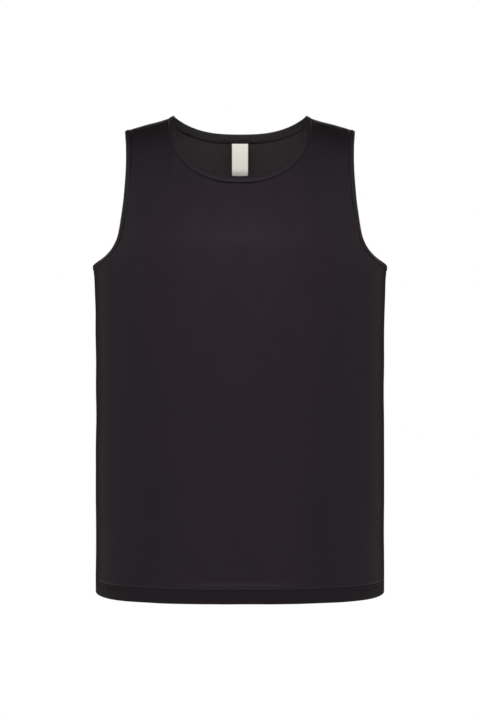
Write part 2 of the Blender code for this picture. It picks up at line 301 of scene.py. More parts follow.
class ShirtForm:
    """The form that all of the shirt's cloth lies on."""

    def __init__(self) -> None:
        """Reads the tables of sizes."""
        self.levels = SmoothTable(FORM_LEVELS)
        self.armhole = SmoothTable(ARMHOLE_POINTS)
        self.ridge = SmoothTable(RIDGE_POINTS)

    def half_width(self, drop: Array | float) -> Array:
        """Half width of the form at the side seams."""
        return self.levels.at("half_width", drop)

    def share_out(self, across: Array, drop: Array) -> Array:
        """Share of the way to the side, where the outline leads only near the side itself.

        Args:
            across: distances from the centre.
            drop: drops below the neck point.

        Returns:
            Shares from 0 at the centre to 1 at the side.
        """
        body = self.levels.at("body", drop)
        reach = self.half_width(drop) / body
        pull = (1 - 1 / reach) / reach**SIDE_POWER
        share = np.abs(across) / body
        return share * (1 - pull * share**SIDE_POWER)

    def fullness(self, half: Half, across: Array, drop: Array) -> Array:
        """Depth of the form to the power of its squareness.

        Args:
            half: the front or the back.
            across: distances from the centre.
            drop: drops below the neck point.

        Returns:
            The powers. They are below 0 outside the form's outline.
        """
        squareness = self.levels.at("squareness", drop)
        ridge = self.ridge.at(half.name, np.abs(across))
        above_chest = (half.full_drop - drop) / (half.full_drop - ridge)
        above_chest = above_chest + np.sqrt(above_chest**2 + CHEST_TURN**2)
        above_chest = above_chest / (1 + math.sqrt(1 + CHEST_TURN**2))
        from_ridge = 1 - above_chest**half.chest_power
        from_side = 1 - self.share_out(across, drop) ** squareness
        shoulder = np.sign(from_ridge) * np.abs(from_ridge) ** (squareness / half.shoulder_power)
        return self.levels.at(half.name, drop) ** squareness * shoulder * from_side

    def point(self, half: Half, across: Array, drop: Array) -> Array:
        """Points of the form at places seen from the front.

        Args:
            half: the front or the back.
            across: distances from the centre.
            drop: drops below the neck point.

        Returns:
            The points.
        """
        across, drop = np.broadcast_arrays(np.asarray(across, float), np.asarray(drop, float))
        squareness = self.levels.at("squareness", drop)
        depth = np.maximum(self.fullness(half, across, drop), 0.0) ** (1 / squareness)
        return np.stack((across, half.facing * depth, NECK_POINT_HEIGHT - drop), axis=-1)

    def excess(self, half: Half, points: Array) -> Array:
        """How far inside the form points are, by the form's own equation.

        Args:
            half: the front or the back.
            points: the points.

        Returns:
            Values above 0 inside the form, 0 on it and below 0 outside.
        """
        drop = NECK_POINT_HEIGHT - points[..., 2]
        squareness = self.levels.at("squareness", drop)
        return self.fullness(half, points[..., 0], drop) - np.abs(points[..., 1]) ** squareness

    def inward_slope(self, half: Half, points: Array) -> Array:
        """Gradient of the excess at points of the form.

        Args:
            half: the front or the back.
            points: the points.

        Returns:
            A vector into the form for each point.
        """
        step_x = np.array([SLOPE_STEP, 0.0, 0.0])
        step_z = np.array([0.0, 0.0, SLOPE_STEP])
        squareness = self.levels.at("squareness", NECK_POINT_HEIGHT - points[..., 2])
        rise_x = self.excess(half, points + step_x) - self.excess(half, points - step_x)
        slope_y = -half.facing * squareness * np.abs(points[..., 1]) ** (squareness - 1)
        rise_z = self.excess(half, points + step_z) - self.excess(half, points - step_z)
        both_ways = 2 * SLOPE_STEP
        return np.stack((rise_x / both_ways, slope_y, rise_z / both_ways), axis=-1)

    def outward(self, half: Half, points: Array) -> Array:
        """Unit normals of the form."""
        return -unit(self.inward_slope(half, points))

    def landed(self, half: Half, points: Array) -> Array:
        """Nearest points of the form to points close to it.

        Args:
            half: the front or the back.
            points: the points.

        Returns:
            Points on the form.
        """
        for _ in range(LANDING_STEPS):
            slope = self.inward_slope(half, points)
            squared = np.maximum((slope**2).sum(axis=-1, keepdims=True), LEAST_SLOPE)
            points = points - slope * (self.excess(half, points)[..., None] / squared)
        return points

    def armhole_edge(self, half: Half, share: Array) -> Array:
        """Finished armhole edge at the right, from the underarm at 0 to the shoulder at 1.

        Args:
            half: the front or the back.
            share: places along the edge.

        Returns:
            The edge's points.
        """
        ease = (1 - np.cos(np.pi * share)) / 2
        drop = mix(UNDERARM_DROP, ARMHOLE_POINTS[0].drop, ease)
        points = self.point(half, self.armhole.at("half_width", drop), drop)
        points[..., 1] = np.where((share <= 0) | (share >= 1), 0.0, points[..., 1])
        return points

    def neck_edge(self, half: Half, share: Array) -> Array:
        """Finished neck edge, from the centre at 0 to the shoulder seam at the right at 1.

        Args:
            half: the front or the back.
            share: places along the edge.

        Returns:
            The edge's points.
        """
        turn = np.pi / 2 * (1 - (1 - share) ** 2)
        across = NECK_HALF_WIDTH * np.sin(turn) ** (2 / half.neck_across)
        drop = half.neck_drop * np.abs(np.cos(turn)) ** (2 / half.neck_down)
        points = self.point(half, across, drop)
        end = np.array([NECK_HALF_WIDTH, 0.0, NECK_POINT_HEIGHT])
        return np.where((share >= 1)[..., None], end, points)

    def shares_at(self, half: Half, curve: Curve, parts: Array) -> Array:
        """Shares along a curve at the given parts of its whole length.

        Args:
            half: the front or the back.
            curve: the armhole's or the neck's finished edge.
            parts: parts of its length, from 0 to 1.

        Returns:
            One share for each part.
        """
        shares = np.linspace(0, 1, CURVE_SAMPLES + 1)
        along = travelled(curve(half, shares))
        found = np.interp(parts * along[-1], along, shares)
        found[parts <= 0] = 0.0
        found[parts >= 1] = 1.0
        return found

    def stations(
        self, half: Half, curve: Curve, shares: Array, width: Array, side: int
    ) -> Stations:
        """A binding's edge and seam along a curve. The seam lies on the form, square to the curve.

        Args:
            half: the front or the back.
            curve: the finished edge.
            shares: where along it.
            width: the binding's width at each place.
            side: 1 or -1, the side of the curve that the binding lies on.

        Returns:
            The edge, the seam and their normals.
        """
        step = 0.5 / CURVE_SAMPLES
        edge = curve(half, shares)
        before = curve(half, np.maximum(shares - step, 0))
        along = curve(half, np.minimum(shares + step, 1)) - before
        middle, end = edge[:, 0] == 0, edge[:, 1] == 0
        along[middle, 1:] = 0
        along[end, 0] = 0
        along[end, 2] = 0
        normal = self.outward(half, edge)
        aside = side * half.facing * unit(np.cross(along, normal))
        seam = self.landed(half, edge + aside * width[:, None])
        seam[end, 1] = 0
        return Stations(edge, normal, seam, self.outward(half, seam))

    def armhole_stations(self, half: Half, parts: Array) -> Stations:
        """Stations up the right armhole at parts of its length.

        Args:
            half: the front or the back.
            parts: parts of its length, from the underarm at 0 to the shoulder at 1.

        Returns:
            The stations.
        """
        shares = self.shares_at(half, self.armhole_edge, parts)
        width = np.full(len(parts), ARMHOLE_BAND)
        return self.stations(half, self.armhole_edge, shares, width, 1)

    def neck_stations(self, half: Half, parts: Array) -> Stations:
        """Stations along the right half of the neck at parts of its length.

        Args:
            half: the front or the back.
            parts: parts of its length, from the centre at 0 to the shoulder at 1.

        Returns:
            The stations.
        """
        shares = self.shares_at(half, self.neck_edge, parts)
        width = mix(half.band, SHOULDER_BAND, parts**2)
        return self.stations(half, self.neck_edge, shares, width, -1)

    def armhole_ring(self, count: int) -> Stations:
        """Stations around the right armhole: up the front and down the back.

        Args:
            count: steps from the underarm to the shoulder.

        Returns:
            The stations.
        """
        parts = np.linspace(0, 1, count + 1)
        front, back = self.armhole_stations(FRONT, parts), self.armhole_stations(BACK, parts)
        return front.joined(back.part(slice(-2, 0, -1)))

    def neck_ring(self, count: int) -> Stations:
        """Stations around the neck: front centre, right shoulder, back centre, left shoulder.

        Args:
            count: steps from a centre to a shoulder.

        Returns:
            The stations.
        """
        parts = np.linspace(0, 1, count + 1)
        front, back = self.neck_stations(FRONT, parts), self.neck_stations(BACK, parts)
        right = front.joined(back.part(slice(-2, None, -1)))
        return right.joined(right.part(slice(-2, 0, -1)).mirrored())


def hem_drop(share: Array) -> Array:
    """Drop of the finished hem at a share of the way from the centre to a side."""
    return HEM_DROP - HEM_SIDE_LIFT * np.abs(share) ** HEM_LIFT_POWER


def spread(count: int, gather: float) -> Array:
    """Shares from 0 to 1 that stand closer together near both ends."""
    even = np.linspace(0, 1, count + 1)
    return even - gather * np.sin(2 * np.pi * even)


def curved(start: Array, middle: Array, end: Array, count: int) -> Array:
    """Points of a curve that starts towards its middle and comes to its end from there."""
    share = np.linspace(0, 1, count + 1)[:, None]
    return (1 - share) ** 2 * start + 2 * share * (1 - share) * middle + share**2 * end


def from_line(points: Array, line: Array) -> tuple[Array, Array]:
    """How far points are from a line of straight pieces.

    Args:
        points: the points, in any array shape.
        line: the line's corners.

    Returns:
        Distances, and the share of the line's length where each point is nearest to it.
    """
    along = travelled(line)
    best = np.full(points.shape[:-1], np.inf)
    share = np.zeros(points.shape[:-1])
    for first in range(len(line) - 1):
        piece = line[first + 1] - line[first]
        length = max(float(np.linalg.norm(piece)), LEAST_PIECE)
        part = np.clip(((points - line[first]) @ piece) / length**2, 0, 1)
        distance = np.linalg.norm(points - line[first] - part[..., None] * piece, axis=-1)
        closer = distance < best
        best = np.where(closer, distance, best)
        share = np.where(closer, (along[first] + part * length) / along[-1], share)
    return best, share


@dataclass(frozen=True)
class Fold:
    """A soft ridge or, with a height below 0, a trough of the worn cloth.

    start, middle and end are places seen from the front: distance from the centre and drop. The
    fold swells to its full height over the fade at its start, and dies away over the same share
    of its length at its end unless it stays_open there.
    """

    panel: str
    start: tuple[float, float]
    middle: tuple[float, float]
    end: tuple[float, float]
    height: float
    width: float
    end_width: float
    fade: float = 0.35
    stays_open: bool = False
    pieces: int = 24

    def relief(self, places: Array) -> Array:
        """How far the fold lifts the cloth.

        Args:
            places: distances from the centre and drops, on the last axis.

        Returns:
            Offsets along the form's normals.
        """
        corners = (np.array(corner) for corner in (self.start, self.middle, self.end))
        distance, share = from_line(places, curved(*corners, self.pieces))
        width = mix(self.width, self.end_width, share)
        swell = np.clip(share / self.fade, 0, 1)
        if not self.stays_open:
            swell = np.minimum(swell, np.clip((1 - share) / self.fade, 0, 1))
        swell = swell * swell * (3 - 2 * swell)
        return self.height * swell * bump_at(distance, width)


# The folds of the front, and the like ones that such a shirt has behind and at its sides
FOLDS = (
    Fold("front", (-0.118, 0.470), (-0.128, 0.560), (-0.134, 0.700), -0.0030, 0.016, 0.026, 0.5, True),
    Fold("front", (0.112, 0.480), (0.126, 0.570), (0.124, 0.700), -0.0032, 0.018, 0.028, 0.5, True),
    Fold("front", (-0.176, 0.560), (-0.182, 0.620), (-0.183, 0.700), 0.0014, 0.010, 0.015, 0.4, True),
    Fold("front", (0.176, 0.550), (0.181, 0.620), (0.184, 0.700), 0.0014, 0.011, 0.016, 0.4, True),
    Fold("front", (-0.036, 0.200), (-0.030, 0.330), (-0.012, 0.500), 0.0010, 0.030, 0.030, 0.4),
    Fold("front", (0.052, 0.200), (0.040, 0.330), (0.016, 0.520), 0.0010, 0.030, 0.030, 0.4),
    Fold("front", (-0.214, 0.402), (-0.190, 0.398), (-0.164, 0.380), -0.0012, 0.008, 0.010),
    Fold("front", (0.214, 0.406), (0.192, 0.400), (0.168, 0.384), -0.0012, 0.008, 0.010),
    Fold("front", (-0.214, 0.500), (-0.194, 0.494), (-0.172, 0.478), -0.0009, 0.010, 0.012),
    Fold("front", (0.214, 0.496), (0.194, 0.490), (0.170, 0.476), -0.0009, 0.010, 0.012),
    Fold("back", (-0.090, 0.440), (-0.104, 0.560), (-0.112, 0.700), -0.0024, 0.018, 0.028, 0.5, True),
    Fold("back", (0.104, 0.450), (0.112, 0.560), (0.106, 0.700), -0.0022, 0.018, 0.026, 0.5, True),
    Fold("back", (0.010, 0.470), (0.004, 0.580), (-0.006, 0.700), -0.0016, 0.022, 0.030, 0.5, True),
    Fold("back", (-0.140, 0.215), (-0.118, 0.300), (-0.060, 0.370), -0.0013, 0.012, 0.018),
    Fold("back", (0.146, 0.210), (0.120, 0.295), (0.066, 0.380), -0.0013, 0.012, 0.018),
    Fold("back", (-0.210, 0.404), (-0.182, 0.392), (-0.150, 0.370), -0.0013, 0.009, 0.012),
    Fold("back", (0.211, 0.398), (0.184, 0.388), (0.150, 0.368), -0.0013, 0.009, 0.012),
    Fold("back", (-0.060, 0.110), (0.000, 0.122), (0.060, 0.112), 0.0009, 0.016, 0.016),
)


@dataclass(frozen=True)
class HemPlan:
    """Sizes of the turned-up hem, up from its finished edge.

    inner_step is how far the turned-up layer's face lies behind the outer one. The band leans in
    by lean at its edge, and the cloth puffs out at puff_height, over the upper stitch row: fully
    within puff_reach of the centre and by the share puff_least at the sides. double_shade is
    the painted shade on the double cloth beside the stitched channel, which gets full painted shade.
    low, beside and upper are the heights of the grid's rows below the stitches, at each stitch row
    and above them.
    """

    turn_up: float = 0.0235
    inner_step: float = 0.0018
    lower_row: float = 0.0177
    upper_row: float = 0.0220
    row_groove: float = 0.00065
    row_width: float = 0.0008
    lean: float = 0.0040
    lean_power: float = 1.15
    puff: float = 0.0020
    puff_height: float = 0.0262
    puff_width: float = 0.0032
    puff_reach: float = 0.070
    puff_least: float = 0.12
    double_shade: float = 0.88
    top: float = 0.0380
    inside_rows: int = 10
    fold_rows: int = 9
    low: tuple[float, ...] = (0.0020, 0.0035, 0.0055, 0.0080, 0.0110, 0.0140)
    beside: tuple[float, ...] = (-0.0016, -0.0008, 0.0, 0.0008, 0.0016)
    upper: tuple[float, ...] = (0.0246, 0.0256, 0.0266, 0.0276, 0.0288, 0.0304, 0.0326, 0.0352)

    def rows(self) -> tuple[Array, Array]:
        """Rows of the hem from the raw edge inside, round the fold and up the outer face.

        Returns:
            Heights above the finished edge, and how far inside the outer face each row lies.
        """
        radius = self.inner_step / 2
        turn = np.linspace(0, np.pi, self.fold_rows)
        inside = np.linspace(self.turn_up, 2 * radius, self.inside_rows)
        stitched = [row + np.array(self.beside) for row in (self.lower_row, self.upper_row)]
        outside = np.concatenate((self.low, *stitched, self.upper, [self.top]))
        heights = np.concatenate((inside, radius * (1 - np.sin(turn)), outside))
        behind = np.full(len(inside), self.inner_step)
        depths = np.concatenate((behind, radius * (1 + np.cos(turn)), np.zeros(len(outside))))
        return heights, depths

    def relief(self, height: Array, across: Array, faced: Array) -> Array:
        """How far the hem's outer face stands off the form.

        Args:
            height: heights above the hem's edge.
            across: distances from the centre.
            faced: how squarely the cloth faces the front or the back there, from 0 to 1.

        Returns:
            Offsets along the form's normals.
        """
        below = np.clip(1 - height / self.puff_height, 0, 1)
        lean = -self.lean * below**self.lean_power
        swell = mix(self.puff_least, 1, bump_at(across, self.puff_reach))
        puff = self.puff * swell * bump_at(height - self.puff_height, self.puff_width)
        grooves = bump_at(height - self.lower_row, self.row_width)
        grooves = grooves + bump_at(height - self.upper_row, self.row_width)
        return (lean + puff) * faced - self.row_groove * grooves

    def shade(self, height: Array) -> Array:
        """Painted shade of the hem: on its double cloth, and on the stitched channel most of all.

        Args:
            height: heights above the hem's edge.

        Returns:
            Values from 0 to 1.
        """
        ends = (self.lower_row - self.row_width, self.upper_row + self.row_width)
        double = np.clip((ends[1] - height) / self.row_width, 0, 1)
        channel = np.clip((height - ends[0]) / self.row_width, 0, 1) * double
        return np.maximum(double * self.double_shade, channel)


@dataclass(frozen=True)
class GridPlan:
    """How finely half a panel is divided.

    gather draws columns and rows closer near the seams, and upward draws the body's rows towards
    its ends. side_pull is the power that keeps the rows beside the armhole level with its seam.
    """

    neck_columns: int = 24
    strap_columns: int = 46
    body_rows: int = 84
    armhole_rows: int = 84
    gather: float = 0.11
    upward: float = 0.45
    side_pull: int = 4


@dataclass
class PanelSheet:
    """Half a panel's grid on the form: one row after the other from the hem's raw edge up."""

    form: ShirtForm
    half: Half
    plan: GridPlan
    hem: HemPlan
    seams: Stations = field(init=False)
    necks: Stations = field(init=False)
    columns: Array = field(init=False)
    side_row: int = field(init=False)
    neck_row: int = field(init=False)

    def __post_init__(self) -> None:
        """Places the seams' stations and the columns."""
        plan, half = self.plan, self.half
        below = round(plan.armhole_rows * half.corner_up)
        above = plan.armhole_rows - below
        up = spread(above, plan.gather)
        lower = half.corner_up * spread(below, plan.gather)
        parts = np.concatenate((lower, mix(half.corner_up, 1, up)[1:]))
        self.seams = self.form.armhole_stations(half, parts)
        level = half.corner_along * np.arange(plan.neck_columns) / plan.neck_columns
        parts = np.concatenate((level, mix(half.corner_along, 1, up)))
        self.necks = self.form.neck_stations(half, parts)
        level = CORNER_OUT * np.arange(plan.neck_columns) / plan.neck_columns
        strap = mix(CORNER_OUT, 1, spread(plan.strap_columns, plan.gather))
        self.columns = np.concatenate((level, strap))
        self.side_row = len(self.hem.rows()[0]) - 1 + plan.body_rows
        self.neck_row = self.side_row + below

    @property
    def side_top(self) -> float:
        """Drop of the side seam's top, where the armhole binding meets it."""
        return float(NECK_POINT_HEIGHT - self.seams.seam[0, 2])

    def seam_half_width(self, drop: Array) -> Array:
        """Half width of the panel, which follows its armhole seam above the side seam.

        Args:
            drop: drops below the neck point.

        Returns:
            The half widths.
        """
        drops = NECK_POINT_HEIGHT - self.seams.seam[:, 2]
        above = np.interp(drop, drops[::-1], self.seams.seam[::-1, 0])
        return np.where(drop >= self.side_top, self.form.half_width(drop), above)

    def edge_turn(self, drop: Array) -> Array:
        """How far round the section the panel's edge stands at a level."""
        return np.arcsin(np.clip(self.seam_half_width(drop) / self.form.half_width(drop), 0, 1))

    def point_across(self, share: Array, drop: Array) -> Array:
        """Points at shares of the way around the section."""
        across = self.form.half_width(drop) * np.sin(self.edge_turn(drop) * share)
        return self.form.point(self.half, across, drop)

    def share_across(self, across: Array, drop: Array) -> Array:
        """Share of the way around the section at distances from the centre."""
        return np.arcsin(np.clip(across / self.form.half_width(drop), 0, 1)) / self.edge_turn(drop)

    def strap_points(self, inner: Array, outer: Array, share: Array) -> Array:
        """Points between the neck's seam and the armhole's, at a like distance below the ridge.

        Args:
            inner: points of the neck's seam.
            outer: points of the armhole's seam.
            share: how far from the inner to the outer ones.

        Returns:
            Points of the form.
        """
        ridge, name = self.form.ridge, self.half.name
        across = mix(inner[..., 0], outer[..., 0], share)
        inner_fall = NECK_POINT_HEIGHT - inner[..., 2] - ridge.at(name, inner[..., 0])
        outer_fall = NECK_POINT_HEIGHT - outer[..., 2] - ridge.at(name, outer[..., 0])
        fall = np.maximum(mix(inner_fall, outer_fall, share), 0.0)
        return self.form.point(self.half, across, ridge.at(name, across) + fall)

    def body(self) -> tuple[Array, Array, Array]:
        """Rows from the hem to the top of the side seam.

        Returns:
            Points, heights above the hem's edge, and how far inside the outer face they lie.
        """
        hem = hem_drop(self.columns)[None, :]
        heights, depths = self.hem.rows()
        even = np.linspace(0, 1, self.plan.body_rows + 1)[1:]
        even = even + self.plan.upward * np.sin(np.pi * even) / np.pi
        upper = mix(hem - heights[-1], self.side_top, even[:, None])
        drops = np.vstack((hem - heights[:, None], upper))
        depths = np.concatenate((depths, np.zeros(self.plan.body_rows)))
        points = self.point_across(np.broadcast_to(self.columns, drops.shape), drops)
        return points, hem - drops, np.broadcast_to(depths[:, None], drops.shape)

    def chest(self) -> Array:
        """Rows between the underarm's level and the corner of the neck.

        Returns:
            Points of the form. The last row is the corner's own.
        """
        corner = self.plan.neck_columns
        below = self.neck_row - self.side_row
        strap = spread(self.plan.strap_columns, self.plan.gather)[1:]
        beside = self.strap_points(self.necks.seam[corner], self.seams.seam[below], strap)
        top = np.concatenate((self.necks.seam[: corner + 1], beside))
        top[-1] = self.seams.seam[below]
        top_drop = NECK_POINT_HEIGHT - top[:, 2]
        top_share = self.share_across(top[:, 0], top_drop)
        drops = NECK_POINT_HEIGHT - self.seams.seam[1:below, 2]
        seam_risen = ((self.side_top - drops) / (self.side_top - top_drop[-1]))[:, None]
        even = spread(below, self.plan.gather)[1:-1, None]
        risen = mix(even, seam_risen, self.columns[None, :] ** self.plan.side_pull)
        share = mix(self.columns[None, :], top_share[None, :], risen)
        points = self.point_across(share, mix(self.side_top, top_drop[None, :], risen))
        points[:, -1] = self.seams.seam[1:below]
        return np.concatenate((points, top[None]))

    def strap(self) -> Array:
        """Rows beside the neck up to the shoulder seam.

        Returns:
            Points of the form. Those inside the neck only fill the array.
        """
        corner = self.plan.neck_columns
        inner = self.necks.seam[corner + 1 :, None]
        outer = self.seams.seam[self.neck_row - self.side_row + 1 :, None]
        share = spread(self.plan.strap_columns, self.plan.gather)[None, :]
        points = self.strap_points(inner, outer, share)
        points[:, 0] = inner[:, 0]
        points[:, -1] = outer[:, 0]
        filler = np.repeat(inner, corner, axis=1)
        filler[..., 0] *= np.arange(corner) / corner
        return np.concatenate((filler, points), axis=1)

    def tucks(self) -> Array:
        """Steps from the neck's and the armhole's seams towards the finished edges.

        Returns:
            A unit vector for each place of the grid at a seam, and zeros elsewhere.
        """
        corner = self.plan.neck_columns
        rows = self.neck_row + len(self.necks.seam) - corner
        tucks = np.zeros((rows, len(self.columns), 3))
        tucks[self.side_row :, -1] = unit(self.seams.edge - self.seams.seam)
        toward = unit(self.necks.edge - self.necks.seam)
        tucks[self.neck_row, : corner + 1] = toward[: corner + 1]
        tucks[self.neck_row :, corner] = toward[corner:]
        return tucks


Place = tuple[int, int]
Places = dict[bmesh.types.BMVert, Place]
Threads = dict[bmesh.types.BMVert, tuple[float, float]]


def grid_places(shape: bmesh.types.BMesh, columns: int, rows: int) -> Places:
    """Where each vertex of a new grid stands in it.

    Args:
        shape: the grid, 2 wide and 2 high about the origin.
        columns: its number of steps across.
        rows: its number of steps up.

    Returns:
        Column and row of each vertex, in the vertices' order.
    """
    shape.verts.ensure_lookup_table()
    return {
        vertex: (round((vertex.co.x + 1) / 2 * columns), round((vertex.co.y + 1) / 2 * rows))
        for vertex in shape.verts
    }


def finished(
    name: str, shape: bmesh.types.BMesh, *materials: bpy.types.Material
) -> bpy.types.Object:
    """Turns a finished bmesh into a smooth object with its materials.

    Args:
        name: the piece's name.
        shape: the bmesh, which is freed.
        materials: the finishes, in the order of the faces' material numbers.

    Returns:
        The new object, at the origin.
    """
    mesh = bpy.data.meshes.new(name)
    shape.to_mesh(mesh)
    shape.free()
    mesh.shade_smooth()
    for material in materials:
        mesh.materials.append(material)
    piece = bpy.data.objects.new(name, mesh)
    bpy.context.collection.objects.link(piece)
    return piece


def walled(piece: bpy.types.Object, thickness: float, inner_material: int = 0) -> bpy.types.Object:
    """Gives a shell of cloth its wall, on its inner side.

    Args:
        piece: the shell.
        thickness: of the wall.
        inner_material: how many places further down the list the inner side's finish stands.

    Returns:
        The same piece.
    """
    wall = piece.modifiers.new("wall", "SOLIDIFY")
    wall.thickness = thickness
    wall.offset = -1
    wall.material_offset = inner_material
    return piece


def cloth_uvs(shape: bmesh.types.BMesh, places: Threads) -> None:
    """Gives a cloth a UV map in metres along its own threads.

    Args:
        shape: the cloth.
        places: of each vertex on the flat cloth.
    """
    layer = shape.loops.layers.uv.new(CLOTH_MAP)
    for face in shape.faces:
        for loop in face.loops:
            loop[layer].uv = places[loop.vert]


@dataclass
class Pucker:
    """Small uneven waves along a seam or binding, as sums of sines with seeded phases."""

    seed: int
    lengths: tuple[float, ...] = (0.0071, 0.0113, 0.0187)

    def at(self, along: Array) -> Array:
        """Height of the waves at lengths along the seam.

        Args:
            along: the lengths.

        Returns:
            Heights from about -1 to 1.
        """
        draw = random.Random(self.seed)
        total = np.zeros_like(along)
        for length in self.lengths:
            total = total + np.sin(2 * np.pi * along / length + draw.uniform(0, 2 * np.pi))
        return total / len(self.lengths)


@dataclass
class PanelCloth:
    """One body panel: a thin sheet on the form, with its hem, its folds and its tucked edges.

    The panel's raw edges go on under the bindings by tuck. At the side and shoulder seams they
    turn inwards by allowance, and both panels' lean together by seam_lean so that no gap shows.
    The side seams' own start seam_start rows below the hem's top one. A seam's line is a dip with
    a soft puff beside it, and painted shade darkens the dip. It is faint beside the neck, down to
    faint_drop, apart from the middle within faint_reach. deep_fold is the depth of a trough whose
    painted shade reaches the whole of fold_shade. ripple is the height of the waves that
    any worn cloth has, where they are reference_wave long.
    """

    name: str
    node: str
    form: ShirtForm
    half: Half
    folds: tuple[Fold, ...]
    plan: GridPlan = GridPlan()
    hem: HemPlan = HemPlan()
    wall: float = 0.0007
    tuck: float = 0.0030
    tuck_depth: float = 0.0010
    tuck_steps: tuple[float, ...] = (0.35, 1.0)
    allowance: float = 0.0050
    allowance_steps: tuple[float, ...] = (0.2, 1.0)
    seam_lean: float = SEAM_GAP * 0.6
    seam_start: int = 9
    turned_cloth: float = 0.002
    seam_dip: float = 0.00055
    seam_dip_width: float = 0.0011
    seam_puff: float = 0.00035
    seam_puff_width: float = 0.0022
    seam_puff_place: float = 0.0042
    faint_seam: float = 0.30
    faint_drop: float = 0.13
    faint_fade: float = 0.06
    faint_reach: float = 0.050
    ripple: float = 0.00022
    wave_lengths: tuple[float, ...] = (0.034, 0.051, 0.083)
    wave_seed: int = 31
    wave_slant: float = 0.6
    wave_stretch: float = 2.3
    reference_wave: float = 0.05
    deep_fold: float = 0.0030
    fold_shade: float = 0.22
    seam_step: float = 0.0006
    sheet: PanelSheet = field(init=False)
    points: Array = field(init=False)
    normals: Array = field(init=False)
    hollows: Array = field(init=False)
    tucks: Array = field(init=False)

    def __post_init__(self) -> None:
        """Lays the whole panel's grid on the form, and notes where painted shade darkens the cloth."""
        self.sheet = PanelSheet(self.form, self.half, self.plan, self.hem)
        body, heights, depths = self.sheet.body()
        upper = np.concatenate((self.sheet.chest(), self.sheet.strap()))
        right = np.concatenate((body, upper))
        normal = self.form.outward(self.half, right)
        for picked in (np.s_[: self.sheet.side_row + 1, -1], np.s_[-1, :]):
            right[picked][..., 1] = self.half.facing * SEAM_GAP / 2
            normal[picked][..., 1] = 0
        far_above_hem = np.ones(upper.shape[:2])
        heights = np.concatenate((heights, far_above_hem))
        depths = np.concatenate((depths, np.zeros(upper.shape[:2])))
        base, self.normals = self.whole(right), self.whole(unit(normal))
        self.tucks = self.whole(self.sheet.tucks())
        faced, heights = np.abs(self.normals[..., 1]), self.both(heights)
        hem = self.hem.relief(heights, base[..., 0], faced) - self.both(depths)
        folds, waves, beside = self.folded(base), self.waved(base), self.from_seams(base)
        # The seams' dips also carry painted shade along their grooves
        dip = bump_at(beside, self.seam_dip_width) * self.seam_shown(base)
        puff = self.seam_puff * bump_at(beside - self.seam_puff_place, self.seam_puff_width)
        offset = hem + folds + waves + puff - self.seam_dip * dip
        self.points = base + self.normals * offset[..., None]
        # Painted shade: fold troughs, the seams' dips and the hem's double cloth and stitched channel
        trough = np.clip(-folds / self.deep_fold, 0, 1) * self.fold_shade
        self.hollows = np.maximum(np.maximum(trough, dip), self.hem.shade(heights))

    def both(self, right: Array) -> Array:
        """Values of the right half carried over to the left one."""
        return np.concatenate((right[:, :0:-1], right), axis=1)

    def whole(self, right: Array) -> Array:
        """Points or directions of the right half with their mirror images."""
        return np.concatenate((right[:, :0:-1] * FLIP, right), axis=1)

    def folded(self, base: Array) -> Array:
        """How far the panel's folds lift the cloth at points of the form."""
        places = np.stack((base[..., 0], NECK_POINT_HEIGHT - base[..., 2]), axis=-1)
        return sum(fold.relief(places) for fold in self.folds if fold.panel == self.half.name)

    def waved(self, base: Array) -> Array:
        """Height of the faint waves that any worn cloth has.

        Args:
            base: points of the form.

        Returns:
            Offsets along the form's normals.
        """
        across, drop = base[..., 0], NECK_POINT_HEIGHT - base[..., 2]
        total = np.zeros_like(drop)
        draw = random.Random(self.wave_seed + self.half.facing)
        for length in self.wave_lengths:
            turn, phase = draw.uniform(-0.5, 0.5), draw.uniform(0, 2 * np.pi)
            along = across * math.cos(turn) + drop * math.sin(turn) * self.wave_slant
            wave = np.sin(2 * np.pi * along / length + phase)
            phase = draw.uniform(0, 2 * np.pi)
            wave = wave * np.sin(2 * np.pi * drop / (length * self.wave_stretch) + phase)
            total = total + self.ripple * wave * length / self.reference_wave
        return total

    def seam_shown(self, base: Array) -> Array:
        """How plainly the seams' lines show: faint beside the neck and up along the straps.

        Args:
            base: points of the form.

        Returns:
            Shares of the seam's full dip.
        """
        low = (NECK_POINT_HEIGHT - base[..., 2] - self.faint_drop) / self.faint_fade
        middle = bump_at(base[..., 0], self.faint_reach)
        return mix(self.faint_seam, 1, np.maximum(np.clip(low, 0, 1), middle))

    def from_seams(self, base: Array) -> Array:
        """Distance of points from the panel's nearest seam.

        Args:
            base: points of the form, as the panel's whole grid.

        Returns:
            The distances.
        """
        sheet, neck = self.sheet, self.plan.neck_columns
        rim = base[: sheet.side_row + 1, -1]
        middle = base.shape[1] // 2
        right = (sheet.seams.seam, sheet.necks.seam, rim)
        lines = [line * turn for line in right for turn in (1, FLIP)]
        lines += [base[-1, middle + neck :], base[-1, : middle - neck + 1]]
        spots = np.concatenate([self.dense(line) for line in lines])
        tree = KDTree(len(spots))
        for index, spot in enumerate(spots):
            tree.insert(spot, index)
        tree.balance()
        distances = np.array([tree.find(point)[2] for point in base.reshape(-1, 3)])
        return distances.reshape(base.shape[:2])

    def dense(self, line: Array) -> Array:
        """The same line with points at even small steps.

        Args:
            line: the line's points.

        Returns:
            The points of the dense line.
        """
        along = travelled(line)
        even = np.linspace(0, along[-1], max(int(along[-1] / self.seam_step), 2))
        return np.stack([np.interp(even, along, line[:, axis]) for axis in range(3)], axis=-1)

    def flat(self) -> Array:
        """Where the grid's places lie on the flat cloth.

        Returns:
            Metres across from the centre line and up from the raw edge, on the last axis.
        """
        rows, columns = self.points.shape[:2]
        across = lengths_of(np.diff(self.points, axis=1))[..., 0]
        across = np.concatenate((np.zeros((rows, 1)), np.cumsum(across, axis=1)), axis=1)
        up = lengths_of(np.diff(self.points, axis=0))[..., 0]
        up = np.concatenate((np.zeros((1, columns)), np.cumsum(up, axis=0)))
        return np.stack((across - across[:, columns // 2, None], up), axis=-1)

